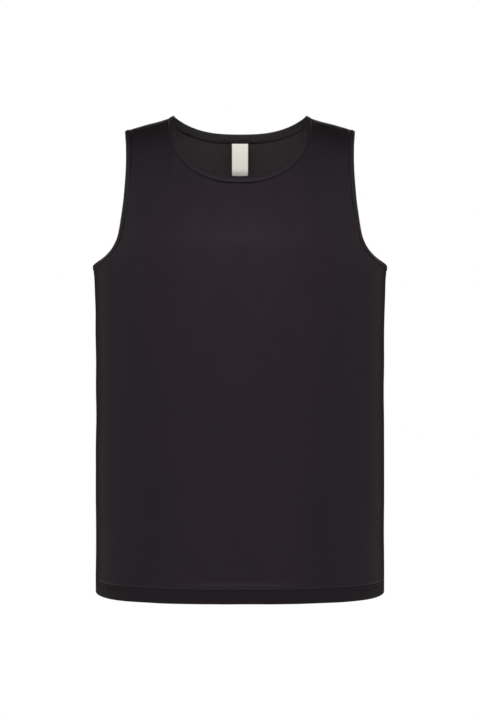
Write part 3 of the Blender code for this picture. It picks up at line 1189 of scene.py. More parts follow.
    def build(self, outside: bpy.types.Material, inside: bpy.types.Material) -> bpy.types.Object:
        """Makes the panel's mesh: a grid with the neck cut out and the raw edges turned under.

        Args:
            outside: the finish of its right side.
            inside: the finish of its reverse.

        Returns:
            The panel.
        """
        rows, columns = self.points.shape[0] - 1, self.points.shape[1] - 1
        flat = self.flat()
        shape = bmesh.new()
        bmesh.ops.create_grid(shape, x_segments=columns, y_segments=rows, size=1.0)
        hollow = shape.verts.layers.float.new(PAINTED_SHADE)
        places = grid_places(shape, columns, rows)
        cut = [
            vertex
            for vertex, (column, row) in places.items()
            if abs(column - columns // 2) < self.plan.neck_columns and row > self.sheet.neck_row
        ]
        bmesh.ops.delete(shape, geom=cut, context="VERTS")
        places = {vertex: places[vertex] for vertex in shape.verts}
        uvs = {}
        for vertex, (column, row) in places.items():
            vertex.co = self.points[row, column]
            vertex[hollow] = self.hollows[row, column]
            uvs[vertex] = tuple(flat[row, column].tolist())
        self.turn_under(shape, places, uvs)
        bmesh.ops.recalc_face_normals(shape, faces=shape.faces[:])
        centre = max(shape.faces, key=lambda face: abs(face.calc_center_median().y))
        if centre.normal.y * self.half.facing < 0:
            bmesh.ops.reverse_faces(shape, faces=shape.faces[:])
        cloth_uvs(shape, uvs)
        return walled(finished(self.name, shape, outside, inside), self.wall, 1)

    def under_binding(self, place: Place, share: float) -> Array:
        """Where a raw edge has come to on its way under a binding.

        Args:
            place: column and row of the edge's vertex.
            share: of the way.

        Returns:
            The point.
        """
        column, row = place
        tucked = self.points[row, column] + self.tucks[row, column] * self.tuck * share
        return tucked - self.normals[row, column] * self.tuck_depth * share**0.5

    def into_seam(self, place: Place, share: float) -> Array:
        """Where a raw edge has come to on its way into a side or shoulder seam.

        Args:
            place: column and row of the edge's vertex.
            share: of the way.

        Returns:
            The point.
        """
        column, row = place
        leant = np.array([0.0, self.half.facing * self.seam_lean, 0.0])
        return self.points[row, column] - self.normals[row, column] * self.allowance * share - leant

    def raw_edges(
        self, shape: bmesh.types.BMesh, places: Places
    ) -> tuple[list[bmesh.types.BMEdge], list[bmesh.types.BMEdge]]:
        """Finds the raw edges that are turned under.

        Args:
            shape: the panel.
            places: column and row of each vertex.

        Returns:
            The edges under the bindings, and those of the side and shoulder seams.
        """
        last_row, last_column = self.points.shape[0] - 1, self.points.shape[1] - 1
        side_rows = range(len(self.hem.rows()[0]) - self.seam_start, self.sheet.side_row + 1)
        bound, inward = [], []
        for edge in (edge for edge in shape.edges if edge.is_boundary):
            ends = [places[vertex] for vertex in edge.verts]
            at_shoulder = all(row == last_row for _, row in ends)
            at_side = all(column in (0, last_column) and row in side_rows for column, row in ends)
            if at_shoulder or at_side:
                inward.append(edge)
            elif all(self.tucks[row, column].any() for column, row in ends):
                bound.append(edge)
        return bound, inward

    def turn_under(self, shape: bmesh.types.BMesh, places: Places, uvs: Threads) -> None:
        """Extrudes the raw edges: under the bindings, and inwards at side and shoulder seams.

        Args:
            shape: the panel, without them.
            places: column and row of each of its vertices.
            uvs: places of its vertices on the flat cloth, which get the new ones too.
        """
        bound, inward = self.raw_edges(shape, places)
        turnings = (
            (bound, self.tuck_steps, self.under_binding),
            (inward, self.allowance_steps, self.into_seam),
        )
        for edges, steps, turned in turnings:
            spots = {vertex: places[vertex] for edge in edges for vertex in edge.verts}
            for share in steps:
                sources = {tuple(vertex.co): vertex for vertex in spots}
                raised = bmesh.ops.extrude_edge_only(shape, edges=edges)["geom"]
                fresh = {}
                for vertex in (part for part in raised if isinstance(part, bmesh.types.BMVert)):
                    source = sources[tuple(vertex.co)]
                    fresh[vertex] = spots[source]
                    u, v = uvs[source]
                    uvs[vertex] = (u + self.turned_cloth * share, v)
                    vertex.co = turned(fresh[vertex], share)
                edges = [part for part in raised if isinstance(part, bmesh.types.BMEdge)]
                edges = [edge for edge in edges if edge.is_boundary]
                edges = [edge for edge in edges if all(end in fresh for end in edge.verts)]
                spots = fresh


@dataclass(frozen=True)
class StripPlan:
    """Section of a folded strip, from its seam round the finished edge and back inside.

    proud is how far its face stands off the form, crown what it swells by in the middle, depth the
    whole strip's thickness, and wall the cloth's own. The strip laps over its seam inside, and each
    of lap_creases is the place across, the reach and the darkness of a painted shadow on
    the lap, under the band's edge.
    under gives the rows below the cloth at the seam as steps towards the edge and heights, and
    rise the rows above them with their heights as shares of proud. swell and flat are where the
    face's and the back's rows stand, as shares of the width.
    """

    proud: float = 0.00045
    crown: float = 0.00035
    depth: float = 0.0024
    wall: float = 0.0006
    lap: float = 0.0010
    lap_creases: tuple[tuple[float, float, float], ...] = ()
    fold_steps: int = 8
    under: tuple[tuple[float, float], ...] = ((0.0008, -0.0007), (0.0003, -0.0004))
    rise: tuple[tuple[float, float], ...] = ((0.0004, 0.5), (0.0009, 0.9), (0.0017, 1.0))
    swell: tuple[float, ...] = (0.35, 0.5, 0.65)
    flat: tuple[float, ...] = (0.65, 0.35)
    inner_step: float = 0.0010
    lap_bend: float = 0.4
    lap_lift: float = 0.0003

    @property
    def face_row(self) -> int:
        """The section's row in the middle of the face."""
        return len(self.under) + len(self.rise) + len(self.swell) // 2

    @property
    def turned_row(self) -> int:
        """The section's row at the middle of the fold, where its inner side starts."""
        return len(self.under) + len(self.rise) + len(self.swell) + self.fold_steps // 2

    def section(self) -> Array:
        """The strip's section, from the raw edge under its seam round to the one inside.

        Returns:
            Rows of share of the width, step towards the edge, and height off the form.
        """
        radius = self.depth / 2
        face, back = self.proud, self.proud - self.depth
        rows = [(0, step, height) for step, height in self.under]
        rows += [(0, step, face * share) for step, share in self.rise]
        rows += [(share, 0, face + self.crown * math.sin(math.pi * share)) for share in self.swell]
        for turn in np.linspace(np.pi / 2, -np.pi / 2, self.fold_steps + 1):
            rows.append((1, radius * (math.cos(turn) - 1), face - radius + radius * math.sin(turn)))
        rows += [(share, 0, back) for share in self.flat]
        rows += [(0, self.inner_step, back), (0, -self.lap * self.lap_bend, back)]
        rows.append((0, -self.lap, back + self.lap_lift))
        return np.array(rows, dtype=float)

    def creased(self, across: float) -> float:
        """How dark the painted shadow leaves the lap at a distance from the centre."""
        return sum(dark * bump_at(across - at, reach) for at, reach, dark in self.lap_creases)


@dataclass
class FoldedStrip:
    """A strip of cloth carried along its stations, either closed to a ring or with two ends.

    pucker is the height of its small waves, which reach its seam by the share seam_pucker. Points
    closer together than merged become one.
    """

    name: str
    places: Stations
    plan: StripPlan
    closed: bool = True
    pucker: float = 0.00010
    seed: int = 5
    seam_pucker: float = 0.15
    merged: float = 0.00002

    def lay(self) -> tuple[Array, Array]:
        """Lays the strip along its stations.

        Returns:
            Points by station and place round the section, and their places on the flat cloth.
        """
        section = self.plan.section()
        seam, edge = self.places.seam, self.places.edge
        across = edge - seam
        toward = unit(across)
        share, step, height = section[:, 0], section[:, 1], section[:, 2]
        middle = (seam + edge) / 2
        along = travelled(np.concatenate((middle, middle[:1])))
        wave = Pucker(self.seed).at(along[:-1])[:, None] * self.pucker
        swell = np.sin(np.pi * np.clip(share + self.seam_pucker, 0, 1))
        lifted = height[None, :] + wave * swell[None, :]
        seam_normal, edge_normal = self.places.seam_normal, self.places.edge_normal
        normal = mix(seam_normal[:, None], edge_normal[:, None], share[None, :, None])
        points = seam[:, None] + across[:, None] * share[None, :, None]
        points = points + toward[:, None] * step[None, :, None] + unit(normal) * lifted[..., None]
        around = travelled(points[0])
        uvs = np.stack(np.meshgrid(along, around, indexing="ij"), axis=-1)
        return points, uvs

    def build(self, outside: bpy.types.Material, inside: bpy.types.Material) -> bpy.types.Object:
        """Makes the strip's mesh, with its cloth's wall on the inner side of the fold.

        Args:
            outside: the finish of its face.
            inside: the finish of its inner side.

        Returns:
            The strip.
        """
        points, uvs = self.lay()
        stations, corners = points.shape[:2]
        length = stations if self.closed else stations - 1
        shape = bmesh.new()
        bmesh.ops.create_grid(shape, x_segments=length, y_segments=corners - 1, size=1.0)
        layer = shape.loops.layers.uv.new(CLOTH_MAP)
        hollow = shape.verts.layers.float.new(PAINTED_SHADE)
        places = grid_places(shape, length, corners - 1)
        for face in shape.faces:
            for loop in face.loops:
                loop[layer].uv = uvs[places[loop.vert]]
            turned = min(places[vertex][1] for vertex in face.verts) >= self.plan.turned_row
            face.material_index = int(turned)
        for vertex, (along, around) in places.items():
            vertex.co = points[along % stations, around]
            # The lap's last rows get their painted shadow
            if around >= corners - 2:
                vertex[hollow] = self.plan.creased(vertex.co.x)
        bmesh.ops.remove_doubles(shape, verts=shape.verts[:], dist=self.merged)
        bmesh.ops.recalc_face_normals(shape, faces=shape.faces[:])
        shape.verts.ensure_lookup_table()
        target = Vector(points[0, self.plan.face_row])
        nearest = min(shape.verts, key=lambda vertex: (vertex.co - target).length_squared)
        if nearest.normal.dot(Vector(self.places.seam_normal[0])) < 0:
            bmesh.ops.reverse_faces(shape, faces=shape.faces[:])
        return walled(finished(self.name, shape, outside, inside), self.plan.wall)


@dataclass(frozen=True)
class StitchPlan:
    """Size of one stitch: the thread that shows between two needle holes.

    proud is how far the thread's middle lies above the cloth.
    """

    pitch: float = 0.0032
    length: float = 0.0027
    width: float = 0.00050
    height: float = 0.00036
    proud: float = 0.00005
    sides: int = 6
    rings: int = 4


@dataclass
class Sewing:
    """Rows of stitches, all in one mesh."""

    name: str
    plan: StitchPlan
    frames: list[Matrix] = field(default_factory=list)

    def row(self, line: Array, normals: Array) -> None:
        """Adds the places of a row of stitches along a line of points.

        Args:
            line: points on the cloth.
            normals: the cloth's normals there.
        """
        plan = self.plan
        along = travelled(line)
        count = max(int(along[-1] / plan.pitch), 1)
        size = Matrix.Diagonal((plan.length / 2, plan.width / 2, plan.height / 2, 1))
        for place in (np.arange(count) + 0.5) * along[-1] / count:
            here, before, after = (
                np.array([np.interp(place + step, along, line[:, axis]) for axis in range(3)])
                for step in (0, -plan.pitch / 2, plan.pitch / 2)
            )
            normal = np.array([np.interp(place, along, normals[:, axis]) for axis in range(3)])
            up = Vector(normal).normalized()
            forward = Vector(after - before)
            forward = (forward - up * forward.dot(up)).normalized()
            placed = Matrix((forward, up.cross(forward), up)).transposed().to_4x4()
            placed.translation = Vector(here) + up * plan.proud
            self.frames.append(placed @ size @ Matrix.Rotation(math.pi / 2, 4, "Y"))

    def build(self, material: bpy.types.Material) -> bpy.types.Object:
        """Makes one stitch, doubles it until there are enough, and puts each in its place.

        Args:
            material: the thread's finish.

        Returns:
            All the stitches, as one piece.
        """
        plan = self.plan
        shape = bmesh.new()
        bmesh.ops.create_uvsphere(shape, u_segments=plan.sides, v_segments=plan.rings, radius=1.0)
        pattern = [vertex.co.copy() for vertex in shape.verts]
        while len(shape.verts) < len(pattern) * len(self.frames):
            bmesh.ops.duplicate(shape, geom=shape.verts[:] + shape.edges[:] + shape.faces[:])
        verts = shape.verts[:]
        for index, placed in enumerate(self.frames):
            start = index * len(pattern)
            for vertex, corner in zip(verts[start : start + len(pattern)], pattern):
                vertex.co = placed @ corner
        spare = verts[len(pattern) * len(self.frames) :]
        bmesh.ops.delete(shape, geom=spare, context="VERTS")
        bmesh.ops.recalc_face_normals(shape, faces=shape.faces[:])
        return finished(self.name, shape, material)


@dataclass
class NeckLabel:
    """The bare label: a folded satin tape that hangs from the back neck seam, inside.

    It starts inset in front of the form and below_seam under the binding's seam, and leans in by
    lean metres to the metre. Below its sewn end it first comes forward by rise_in over
    rise_length, and its two leaves open to leaf_gap over open_length.
    """

    form: ShirtForm
    half_width: float = LABEL_HALF_WIDTH
    length: float = LABEL_LENGTH
    lean: float = 0.20
    inset: float = 0.0017
    rise_in: float = 0.0009
    rise_share: float = 0.6
    rise_length: float = 0.004
    open_length: float = 0.005
    leaf_gap: float = 0.0006
    leaf: float = 0.00025
    corner: float = 0.0018
    bow: float = 0.0005
    below_seam: float = 0.0027
    columns: int = 14
    rows: int = 32
    fold_rows: int = 6

    def profile(self) -> Array:
        """The tape's way down its back leaf, round the fold and up its front leaf.

        Returns:
            Rows of the distance fallen and of the step inwards, towards the wearer's neck.
        """
        radius = self.leaf_gap / 2
        down = np.linspace(0, self.length - radius, self.rows)
        turn = np.linspace(0, np.pi, self.fold_rows + 1)[1:-1]
        apart = np.clip(down / self.open_length, 0, 1) * self.leaf_gap
        back = np.stack((down, (self.leaf_gap - apart) / 2), axis=-1)
        fold = np.stack((down[-1] + radius * np.sin(turn), radius * (1 - np.cos(turn))), axis=-1)
        front = np.stack((down[::-1], ((self.leaf_gap + apart) / 2)[::-1]), axis=-1)
        return np.concatenate((back, fold, front))

    def build(self, material: bpy.types.Material) -> bpy.types.Object:
        """Makes the tape's mesh and its thin wall.

        Args:
            material: the tape's finish.

        Returns:
            The label.
        """
        top = self.form.neck_stations(BACK, np.array([0.0, 1.0]))
        top_drop = NECK_POINT_HEIGHT - top.seam[0, 2] + self.below_seam
        profile = self.profile()
        along = travelled(profile)
        shape = bmesh.new()
        bmesh.ops.create_grid(shape, x_segments=self.columns, y_segments=len(profile) - 1, size=1.0)
        uvs = {}
        for vertex, (column, row) in grid_places(shape, self.columns, len(profile) - 1).items():
            fallen, inward = profile[row]
            left = self.length - fallen
            half_width = self.half_width
            if left < self.corner:
                half_width -= self.corner - math.sqrt(self.corner**2 - (self.corner - left) ** 2)
            share = column / self.columns * 2 - 1
            across = share * half_width
            seat = self.form.point(BACK, across, top_drop)
            seat = seat - self.form.outward(BACK, seat) * self.inset
            clear = self.rise_in * (1 - math.exp(-fallen / self.rise_length)) * self.rise_share
            bow = self.bow * share**2 * fallen / self.length
            depth = self.lean * fallen - inward - clear + self.rise_in - bow
            vertex.co = Vector(seat) + Vector((0, depth, -fallen))
            uvs[vertex] = (across, float(along[row]))
        bmesh.ops.recalc_face_normals(shape, faces=shape.faces[:])
        cloth_uvs(shape, uvs)
        return walled(finished("neck_label_tape", shape, material), self.leaf)


@dataclass
class InnerSeams:
    """The overlocked allowances inside, pressed to the back at the side and shoulder seams.

    They lie sunk inside the form, and those of the sides end above_hem the hem's edge.
    """

    form: ShirtForm
    back: PanelSheet
    width: float = 0.0062
    sunk: float = 0.0004
    above_hem: float = 0.024
    plan: StripPlan = StripPlan(proud=-0.0012, crown=0.0002, depth=0.0013, wall=0.0005, lap=0.0)
    pucker: float = 0.00006
    first_seed: int = 3
    side_stations: int = 110
    shoulder_stations: int = 27

    def strip_at(self, seam: Array, name: str, seed: int) -> FoldedStrip:
        """A strip from a seam towards the back, on the form.

        Args:
            seam: points of the seam, in the plane of the side seams.
            name: the piece's name.
            seed: of its small puckers.

        Returns:
            The strip.
        """
        normal = self.form.outward(BACK, seam)
        normal[:, 1] = 0
        normal = unit(normal)
        aside = seam + np.array([0.0, self.width, 0.0]) - normal * self.sunk
        edge = self.form.landed(BACK, aside)
        places = Stations(edge, self.form.outward(BACK, edge), seam, normal)
        return FoldedStrip(name, places, self.plan, closed=False, pucker=self.pucker, seed=seed)

    def side_seam(self) -> Array:
        """Places points down the right side seam.

        Returns:
            The points, from the armhole binding to the hem's stitches.
        """
        lowest = HEM_DROP - HEM_SIDE_LIFT - self.above_hem
        drops = np.linspace(self.back.side_top, lowest, self.side_stations)
        return self.form.point(BACK, self.form.half_width(drops), drops) * np.array([1.0, 0, 1])

    def shoulder_seam(self) -> Array:
        """Places points along the right shoulder seam.

        Returns:
            The points, from the neck binding to the armhole binding.
        """
        inner, outer = self.back.necks.seam[-1], self.back.seams.seam[-1]
        across = np.linspace(inner[0], outer[0], self.shoulder_stations)
        height = NECK_POINT_HEIGHT - self.form.ridge.at("back", across)
        return np.stack((across, np.zeros_like(across), height), axis=-1)

    def strips(self) -> list[FoldedStrip]:
        """Lays out the allowances of both sides and both shoulders.

        Returns:
            The strips, each seam's followed by its mirror image.
        """
        made = []
        for seam, part in ((self.side_seam(), "side"), (self.shoulder_seam(), "shoulder")):
            seed = self.first_seed + len(made)
            first = self.strip_at(seam, f"{part}_seam_inside_left", seed)
            other = first.places.mirrored()
            name = f"{part}_seam_inside_right"
            made += [first, replace(first, name=name, places=other, seed=seed + 1)]
        return made


@dataclass
class NodeBench:
    """Adds linked nodes to one tree."""

    tree: bpy.types.NodeTree

    def add(self, kind: str, values: dict | None = None, **settings: object) -> bpy.types.Node:
        """Adds a node.

        Args:
            kind: the node's type.
            values: what goes into its sockets: numbers, or other nodes' outputs.
            settings: the node's own properties.

        Returns:
            The node.
        """
        node = self.tree.nodes.new(kind)
        for name, value in settings.items():
            setattr(node, name, value)
        self.fill(node, values or {})
        return node

    def fill(self, node: bpy.types.Node, values: dict) -> None:
        """Links or sets a node's sockets.

        Args:
            node: the node.
            values: what goes into its sockets: numbers, or other nodes' outputs.
        """
        for socket, value in values.items():
            if isinstance(value, bpy.types.NodeSocket):
                self.tree.links.new(value, node.inputs[socket])
            else:
                node.inputs[socket].default_value = value

    def math(self, operation: str, *values: object) -> bpy.types.NodeSocket:
        """Adds a Math node and returns its result."""
        return self.add("ShaderNodeMath", dict(enumerate(values)), operation=operation).outputs[0]

    def blend(self, factor: object, first: object, second: object) -> bpy.types.NodeSocket:
        """Adds a colour mix and returns its result."""
        node = self.add("ShaderNodeMix", {0: factor, 6: first, 7: second}, data_type="RGBA")
        return node.outputs[2]

    def eased(self, value: object, start: float, end: float) -> bpy.types.NodeSocket:
        """Adds a soft step.

        Args:
            value: what is read.
            start: the value where the step is 0.
            end: the value where it is 1.

        Returns:
            The step.
        """
        values = {"Value": value, "From Min": start, "From Max": end}
        step = self.add("ShaderNodeMapRange", values, interpolation_type="SMOOTHSTEP")
        return step.outputs[0]

    def bump(self, height: object, strength: float, distance: float) -> bpy.types.NodeSocket:
        """Adds a bump and returns its normal."""
        values = {"Height": height, "Strength": strength, "Distance": distance}
        return self.add("ShaderNodeBump", values).outputs[0]


@dataclass
class FinishBench:
    """A new material with a bench for its nodes."""

    name: str
    made: bpy.types.Material = field(init=False)
    bench: NodeBench = field(init=False)

    def __post_init__(self) -> None:
        """Makes the material."""
        self.made = bpy.data.materials.new(self.name)
        self.made.use_nodes = True
        self.bench = NodeBench(self.made.node_tree)

    def shaded(self, values: dict) -> bpy.types.Material:
        """Links and sets the shader's own sockets, and hands over the material."""
        self.bench.fill(self.made.node_tree.nodes["Principled BSDF"], values)
        return self.made


def opaque(colour: Colour, factor: float = 1.0) -> tuple[float, float, float, float]:
    """A colour times a factor, with full alpha."""
    return (*(factor * part for part in colour), 1.0)


def new_group(name: str, inputs: dict[str, float], outputs: Sequence[str]) -> bpy.types.NodeTree:
    """An empty shader group with float sockets.

    Args:
        name: the group's name.
        inputs: its inputs with their defaults.
        outputs: its outputs.

    Returns:
        The group, with its input and output nodes.
    """
    group = bpy.data.node_groups.new(name, "ShaderNodeTree")
    for socket, value in inputs.items():
        made = group.interface.new_socket(socket, in_out="INPUT", socket_type="NodeSocketFloat")
        made.default_value = value
    for socket in outputs:
        group.interface.new_socket(socket, in_out="OUTPUT", socket_type="NodeSocketFloat")
    group.nodes.new("NodeGroupInput")
    group.nodes.new("NodeGroupOutput")
    return group


def knit_group() -> bpy.types.NodeTree:
    """Makes the knit's grain: columns of small V-shaped stitches, fuzz and clouds.

    Returns:
        The group. It reads the cloth's map in metres, and puts out a height and a tone.
    """
    inputs = {"Wale": 0.0011, "Course": 0.0009, "Fuzz": 0.3, "Clouds": 0.4}
    group = new_group("knit grain", inputs, ("Height", "Tone"))
    bench = NodeBench(group)
    given, out = group.nodes["Group Input"], group.nodes["Group Output"]
    place = bench.add("ShaderNodeUVMap", uv_map=CLOTH_MAP).outputs[0]
    split = bench.add("ShaderNodeSeparateXYZ", {0: place})
    wale = bench.math("DIVIDE", split.outputs[0], given.outputs["Wale"])
    course = bench.math("DIVIDE", split.outputs[1], given.outputs["Course"])
    leg = bench.math("ABSOLUTE", bench.math("SUBTRACT", bench.math("FRACT", wale), 0.5))
    rib = bench.math("ABSOLUTE", bench.math("SINE", bench.math("MULTIPLY", wale, math.pi)))
    slanted = bench.math("MULTIPLY_ADD", leg, 1.3, course)
    loop = bench.math("SINE", bench.math("MULTIPLY", slanted, 2 * math.pi))
    loop = bench.math("MULTIPLY_ADD", loop, 0.24, 0.76)
    uneven = {}
    for name, scale, detail in (("Fuzz", 2600.0, 2.0), ("Clouds", 26.0, 3.0)):
        values = {"Vector": place, "Scale": scale, "Detail": detail}
        noise = bench.add("ShaderNodeTexNoise", values).outputs[0]
        noise = bench.math("SUBTRACT", noise, 0.5)
        uneven[name] = bench.math("MULTIPLY", noise, given.outputs[name])
    height = bench.math("ADD", bench.math("MULTIPLY", rib, loop), uneven["Fuzz"])
    middle = bench.math("ADD", uneven["Clouds"], 0.5)
    tone = bench.math("MULTIPLY_ADD", height, 0.35, middle)
    bench.fill(out, {"Height": height, "Tone": tone})
    return group


@dataclass(frozen=True)
class KnitFinish:
    """Finish of a knitted cloth.

    low and high are the colours between and on top of the stitches, which are wale wide and
    course high. Where the cloth's painted shade attribute is set, the painted shade lowers the colour
    to the share hollow_colour of the low one, and the roughness rises by hollow_roughness.
    """

    name: str
    low: Colour
    high: Colour
    wale: float
    course: float
    roughness: float
    gloss: float
    relief: float
    relief_depth: float = 0.0002
    polish: float = 0.12
    gloss_tint: Colour = (1.0, 0.78, 0.93)
    hollow_colour: float = 0.45
    hollow_roughness: float = 0.20

    def material(self, grain: bpy.types.NodeTree) -> bpy.types.Material:
        """Makes the material.

        Args:
            grain: the shared knit grain.

        Returns:
            The material.
        """
        made = FinishBench(self.name)
        bench = made.bench
        knit = bench.add("ShaderNodeGroup", node_tree=grain)
        bench.fill(knit, {"Wale": self.wale, "Course": self.course})
        # Painted shade: the attribute darkens the colour in folds, seam grooves, the hem and under
        # laps
        hollow = bench.add("ShaderNodeAttribute", attribute_name=PAINTED_SHADE).outputs["Fac"]
        tone = knit.outputs["Tone"]
        colour = bench.blend(tone, opaque(self.low), opaque(self.high))
        rough = bench.math("MULTIPLY_ADD", tone, -self.polish, self.roughness + self.polish / 2)
        return made.shaded({
            "Base Color": bench.blend(hollow, colour, opaque(self.low, self.hollow_colour)),
            "Roughness": bench.math("MULTIPLY_ADD", hollow, self.hollow_roughness, rough),
            "Normal": bench.bump(knit.outputs["Height"], self.relief, self.relief_depth),
            "Specular IOR Level": self.gloss,
            "Specular Tint": opaque(self.gloss_tint),
        })


@dataclass(frozen=True)
class ThreadFinish:
    """Finish of a sewing thread: fine slanted plies, darker between them by the share low."""

    name: str
    colour: Colour
    ply: float = 0.00035
    low: float = 0.6
    roughness: float = 0.5
    polish: float = 0.1
    gloss: float = 0.35
    relief: float = 0.3
    relief_depth: float = 0.0001

    def material(self) -> bpy.types.Material:
        """Makes the material.

        Returns:
            The material.
        """
        made = FinishBench(self.name)
        bench = made.bench
        place = bench.add("ShaderNodeTexCoord").outputs["Object"]
        scale = 1 / self.ply / WAVE_RATE
        values = {"Vector": place, "Scale": scale, "Distortion": 0.6, "Detail": 1.0}
        ply = bench.add("ShaderNodeTexWave", values, bands_direction="DIAGONAL").outputs["Fac"]
        rough = self.roughness + self.polish / 2
        return made.shaded({
            "Base Color": bench.blend(ply, opaque(self.colour, self.low), opaque(self.colour)),
            "Roughness": bench.math("MULTIPLY_ADD", ply, -self.polish, rough),
            "Normal": bench.bump(ply, self.relief, self.relief_depth),
            "Specular IOR Level": self.gloss,
        })


@dataclass(frozen=True)
class SatinFinish:
    """Finish of the label's woven satin tape, with its firmer selvedges.

    Between the threads the colour falls to the share low, and at the selvedges to the share edge.
    Within shaded of the fold at the lower end, a painted shadow lowers it to the share
    shade.
    """

    name: str
    colour: Colour
    low: float = 0.96
    edge: float = 0.80
    edge_amount: float = 0.5
    edge_start: float = 0.90
    edge_end: float = 0.94
    shaded: float = 0.0115
    shade_full: float = 0.0015
    shade: float = 0.58
    weft: float = 0.00032
    warp: float = 0.00050
    roughness: float = 0.38
    matt: float = 0.15
    gloss: float = 0.5
    relief: float = 0.25
    relief_depth: float = 0.0001

    def material(self) -> bpy.types.Material:
        """Makes the material.

        Returns:
            The material.
        """
        made = FinishBench(self.name)
        bench = made.bench
        place = bench.add("ShaderNodeUVMap", uv_map=CLOTH_MAP).outputs[0]
        across, along, _ = bench.add("ShaderNodeSeparateXYZ", {0: place}).outputs
        weft = bench.math("SINE", bench.math("MULTIPLY", along, 2 * math.pi / self.weft))
        warp = bench.math("SINE", bench.math("MULTIPLY", across, 2 * math.pi / self.warp))
        weave = bench.math("MULTIPLY_ADD", bench.math("MULTIPLY", weft, warp), 0.5, 0.5)
        colour = bench.blend(weave, opaque(self.colour, self.low), opaque(self.colour))
        out = bench.math("DIVIDE", bench.math("ABSOLUTE", across), LABEL_HALF_WIDTH)
        selvedge = bench.eased(out, self.edge_start, self.edge_end)
        amount = bench.math("MULTIPLY", selvedge, self.edge_amount)
        colour = bench.blend(amount, colour, opaque(self.colour, self.edge))
        # Painted shadow over the tape's lower end, beside the fold
        from_fold = bench.math("ABSOLUTE", bench.math("SUBTRACT", along, LABEL_LENGTH))
        painted_fold_shadow = bench.eased(from_fold, self.shaded, self.shade_full)
        height = bench.math("ADD", weave, selvedge)
        return made.shaded({
            "Base Color": bench.blend(painted_fold_shadow, colour, opaque(self.colour, self.shade)),
            "Roughness": bench.math("MULTIPLY_ADD", weave, self.matt, self.roughness),
            "Normal": bench.bump(height, self.relief, self.relief_depth),
            "Specular IOR Level": self.gloss,
        })


class Slot(Enum):
    """Names of the material slots."""

    BODY = "body_knit"
    BINDING = "binding_knit"
    LABEL = "label_tape"


@dataclass(frozen=True)
class BoxRow:
    """Equal soft boxes of the studio, at one height round the shirt.

    elevation and turns are degrees, up from level and round from straight in front, and power is
    one box's, in watts.
    """

    name: str
    elevation: float
    turns: tuple[float, ...]
    power: float

    def build(self, target: Vector, distance: float, size: float) -> None:
        """Makes the boxes.

        Args:
            target: the point that they shine at.
            distance: how far from it they stand.
            size: one box's width and height.
        """
        up = math.radians(self.elevation)
        for turn in self.turns:
            round_by = math.radians(turn)
            outward = Vector((math.sin(round_by), -math.cos(round_by), 0.0)) * math.cos(up)
            outward.z = math.sin(up)
            light = bpy.data.lights.new(f"{self.name}_{turn:.0f}", "AREA")
            light.shape = "SQUARE"
            light.size = size
            light.energy = self.power
            lamp = bpy.data.objects.new(light.name, light)
            lamp.location = target + outward * distance
            lamp.rotation_euler = (-outward).to_track_quat("-Z", "Y").to_euler()
            lamp.visible_camera = False
            bpy.context.collection.objects.link(lamp)


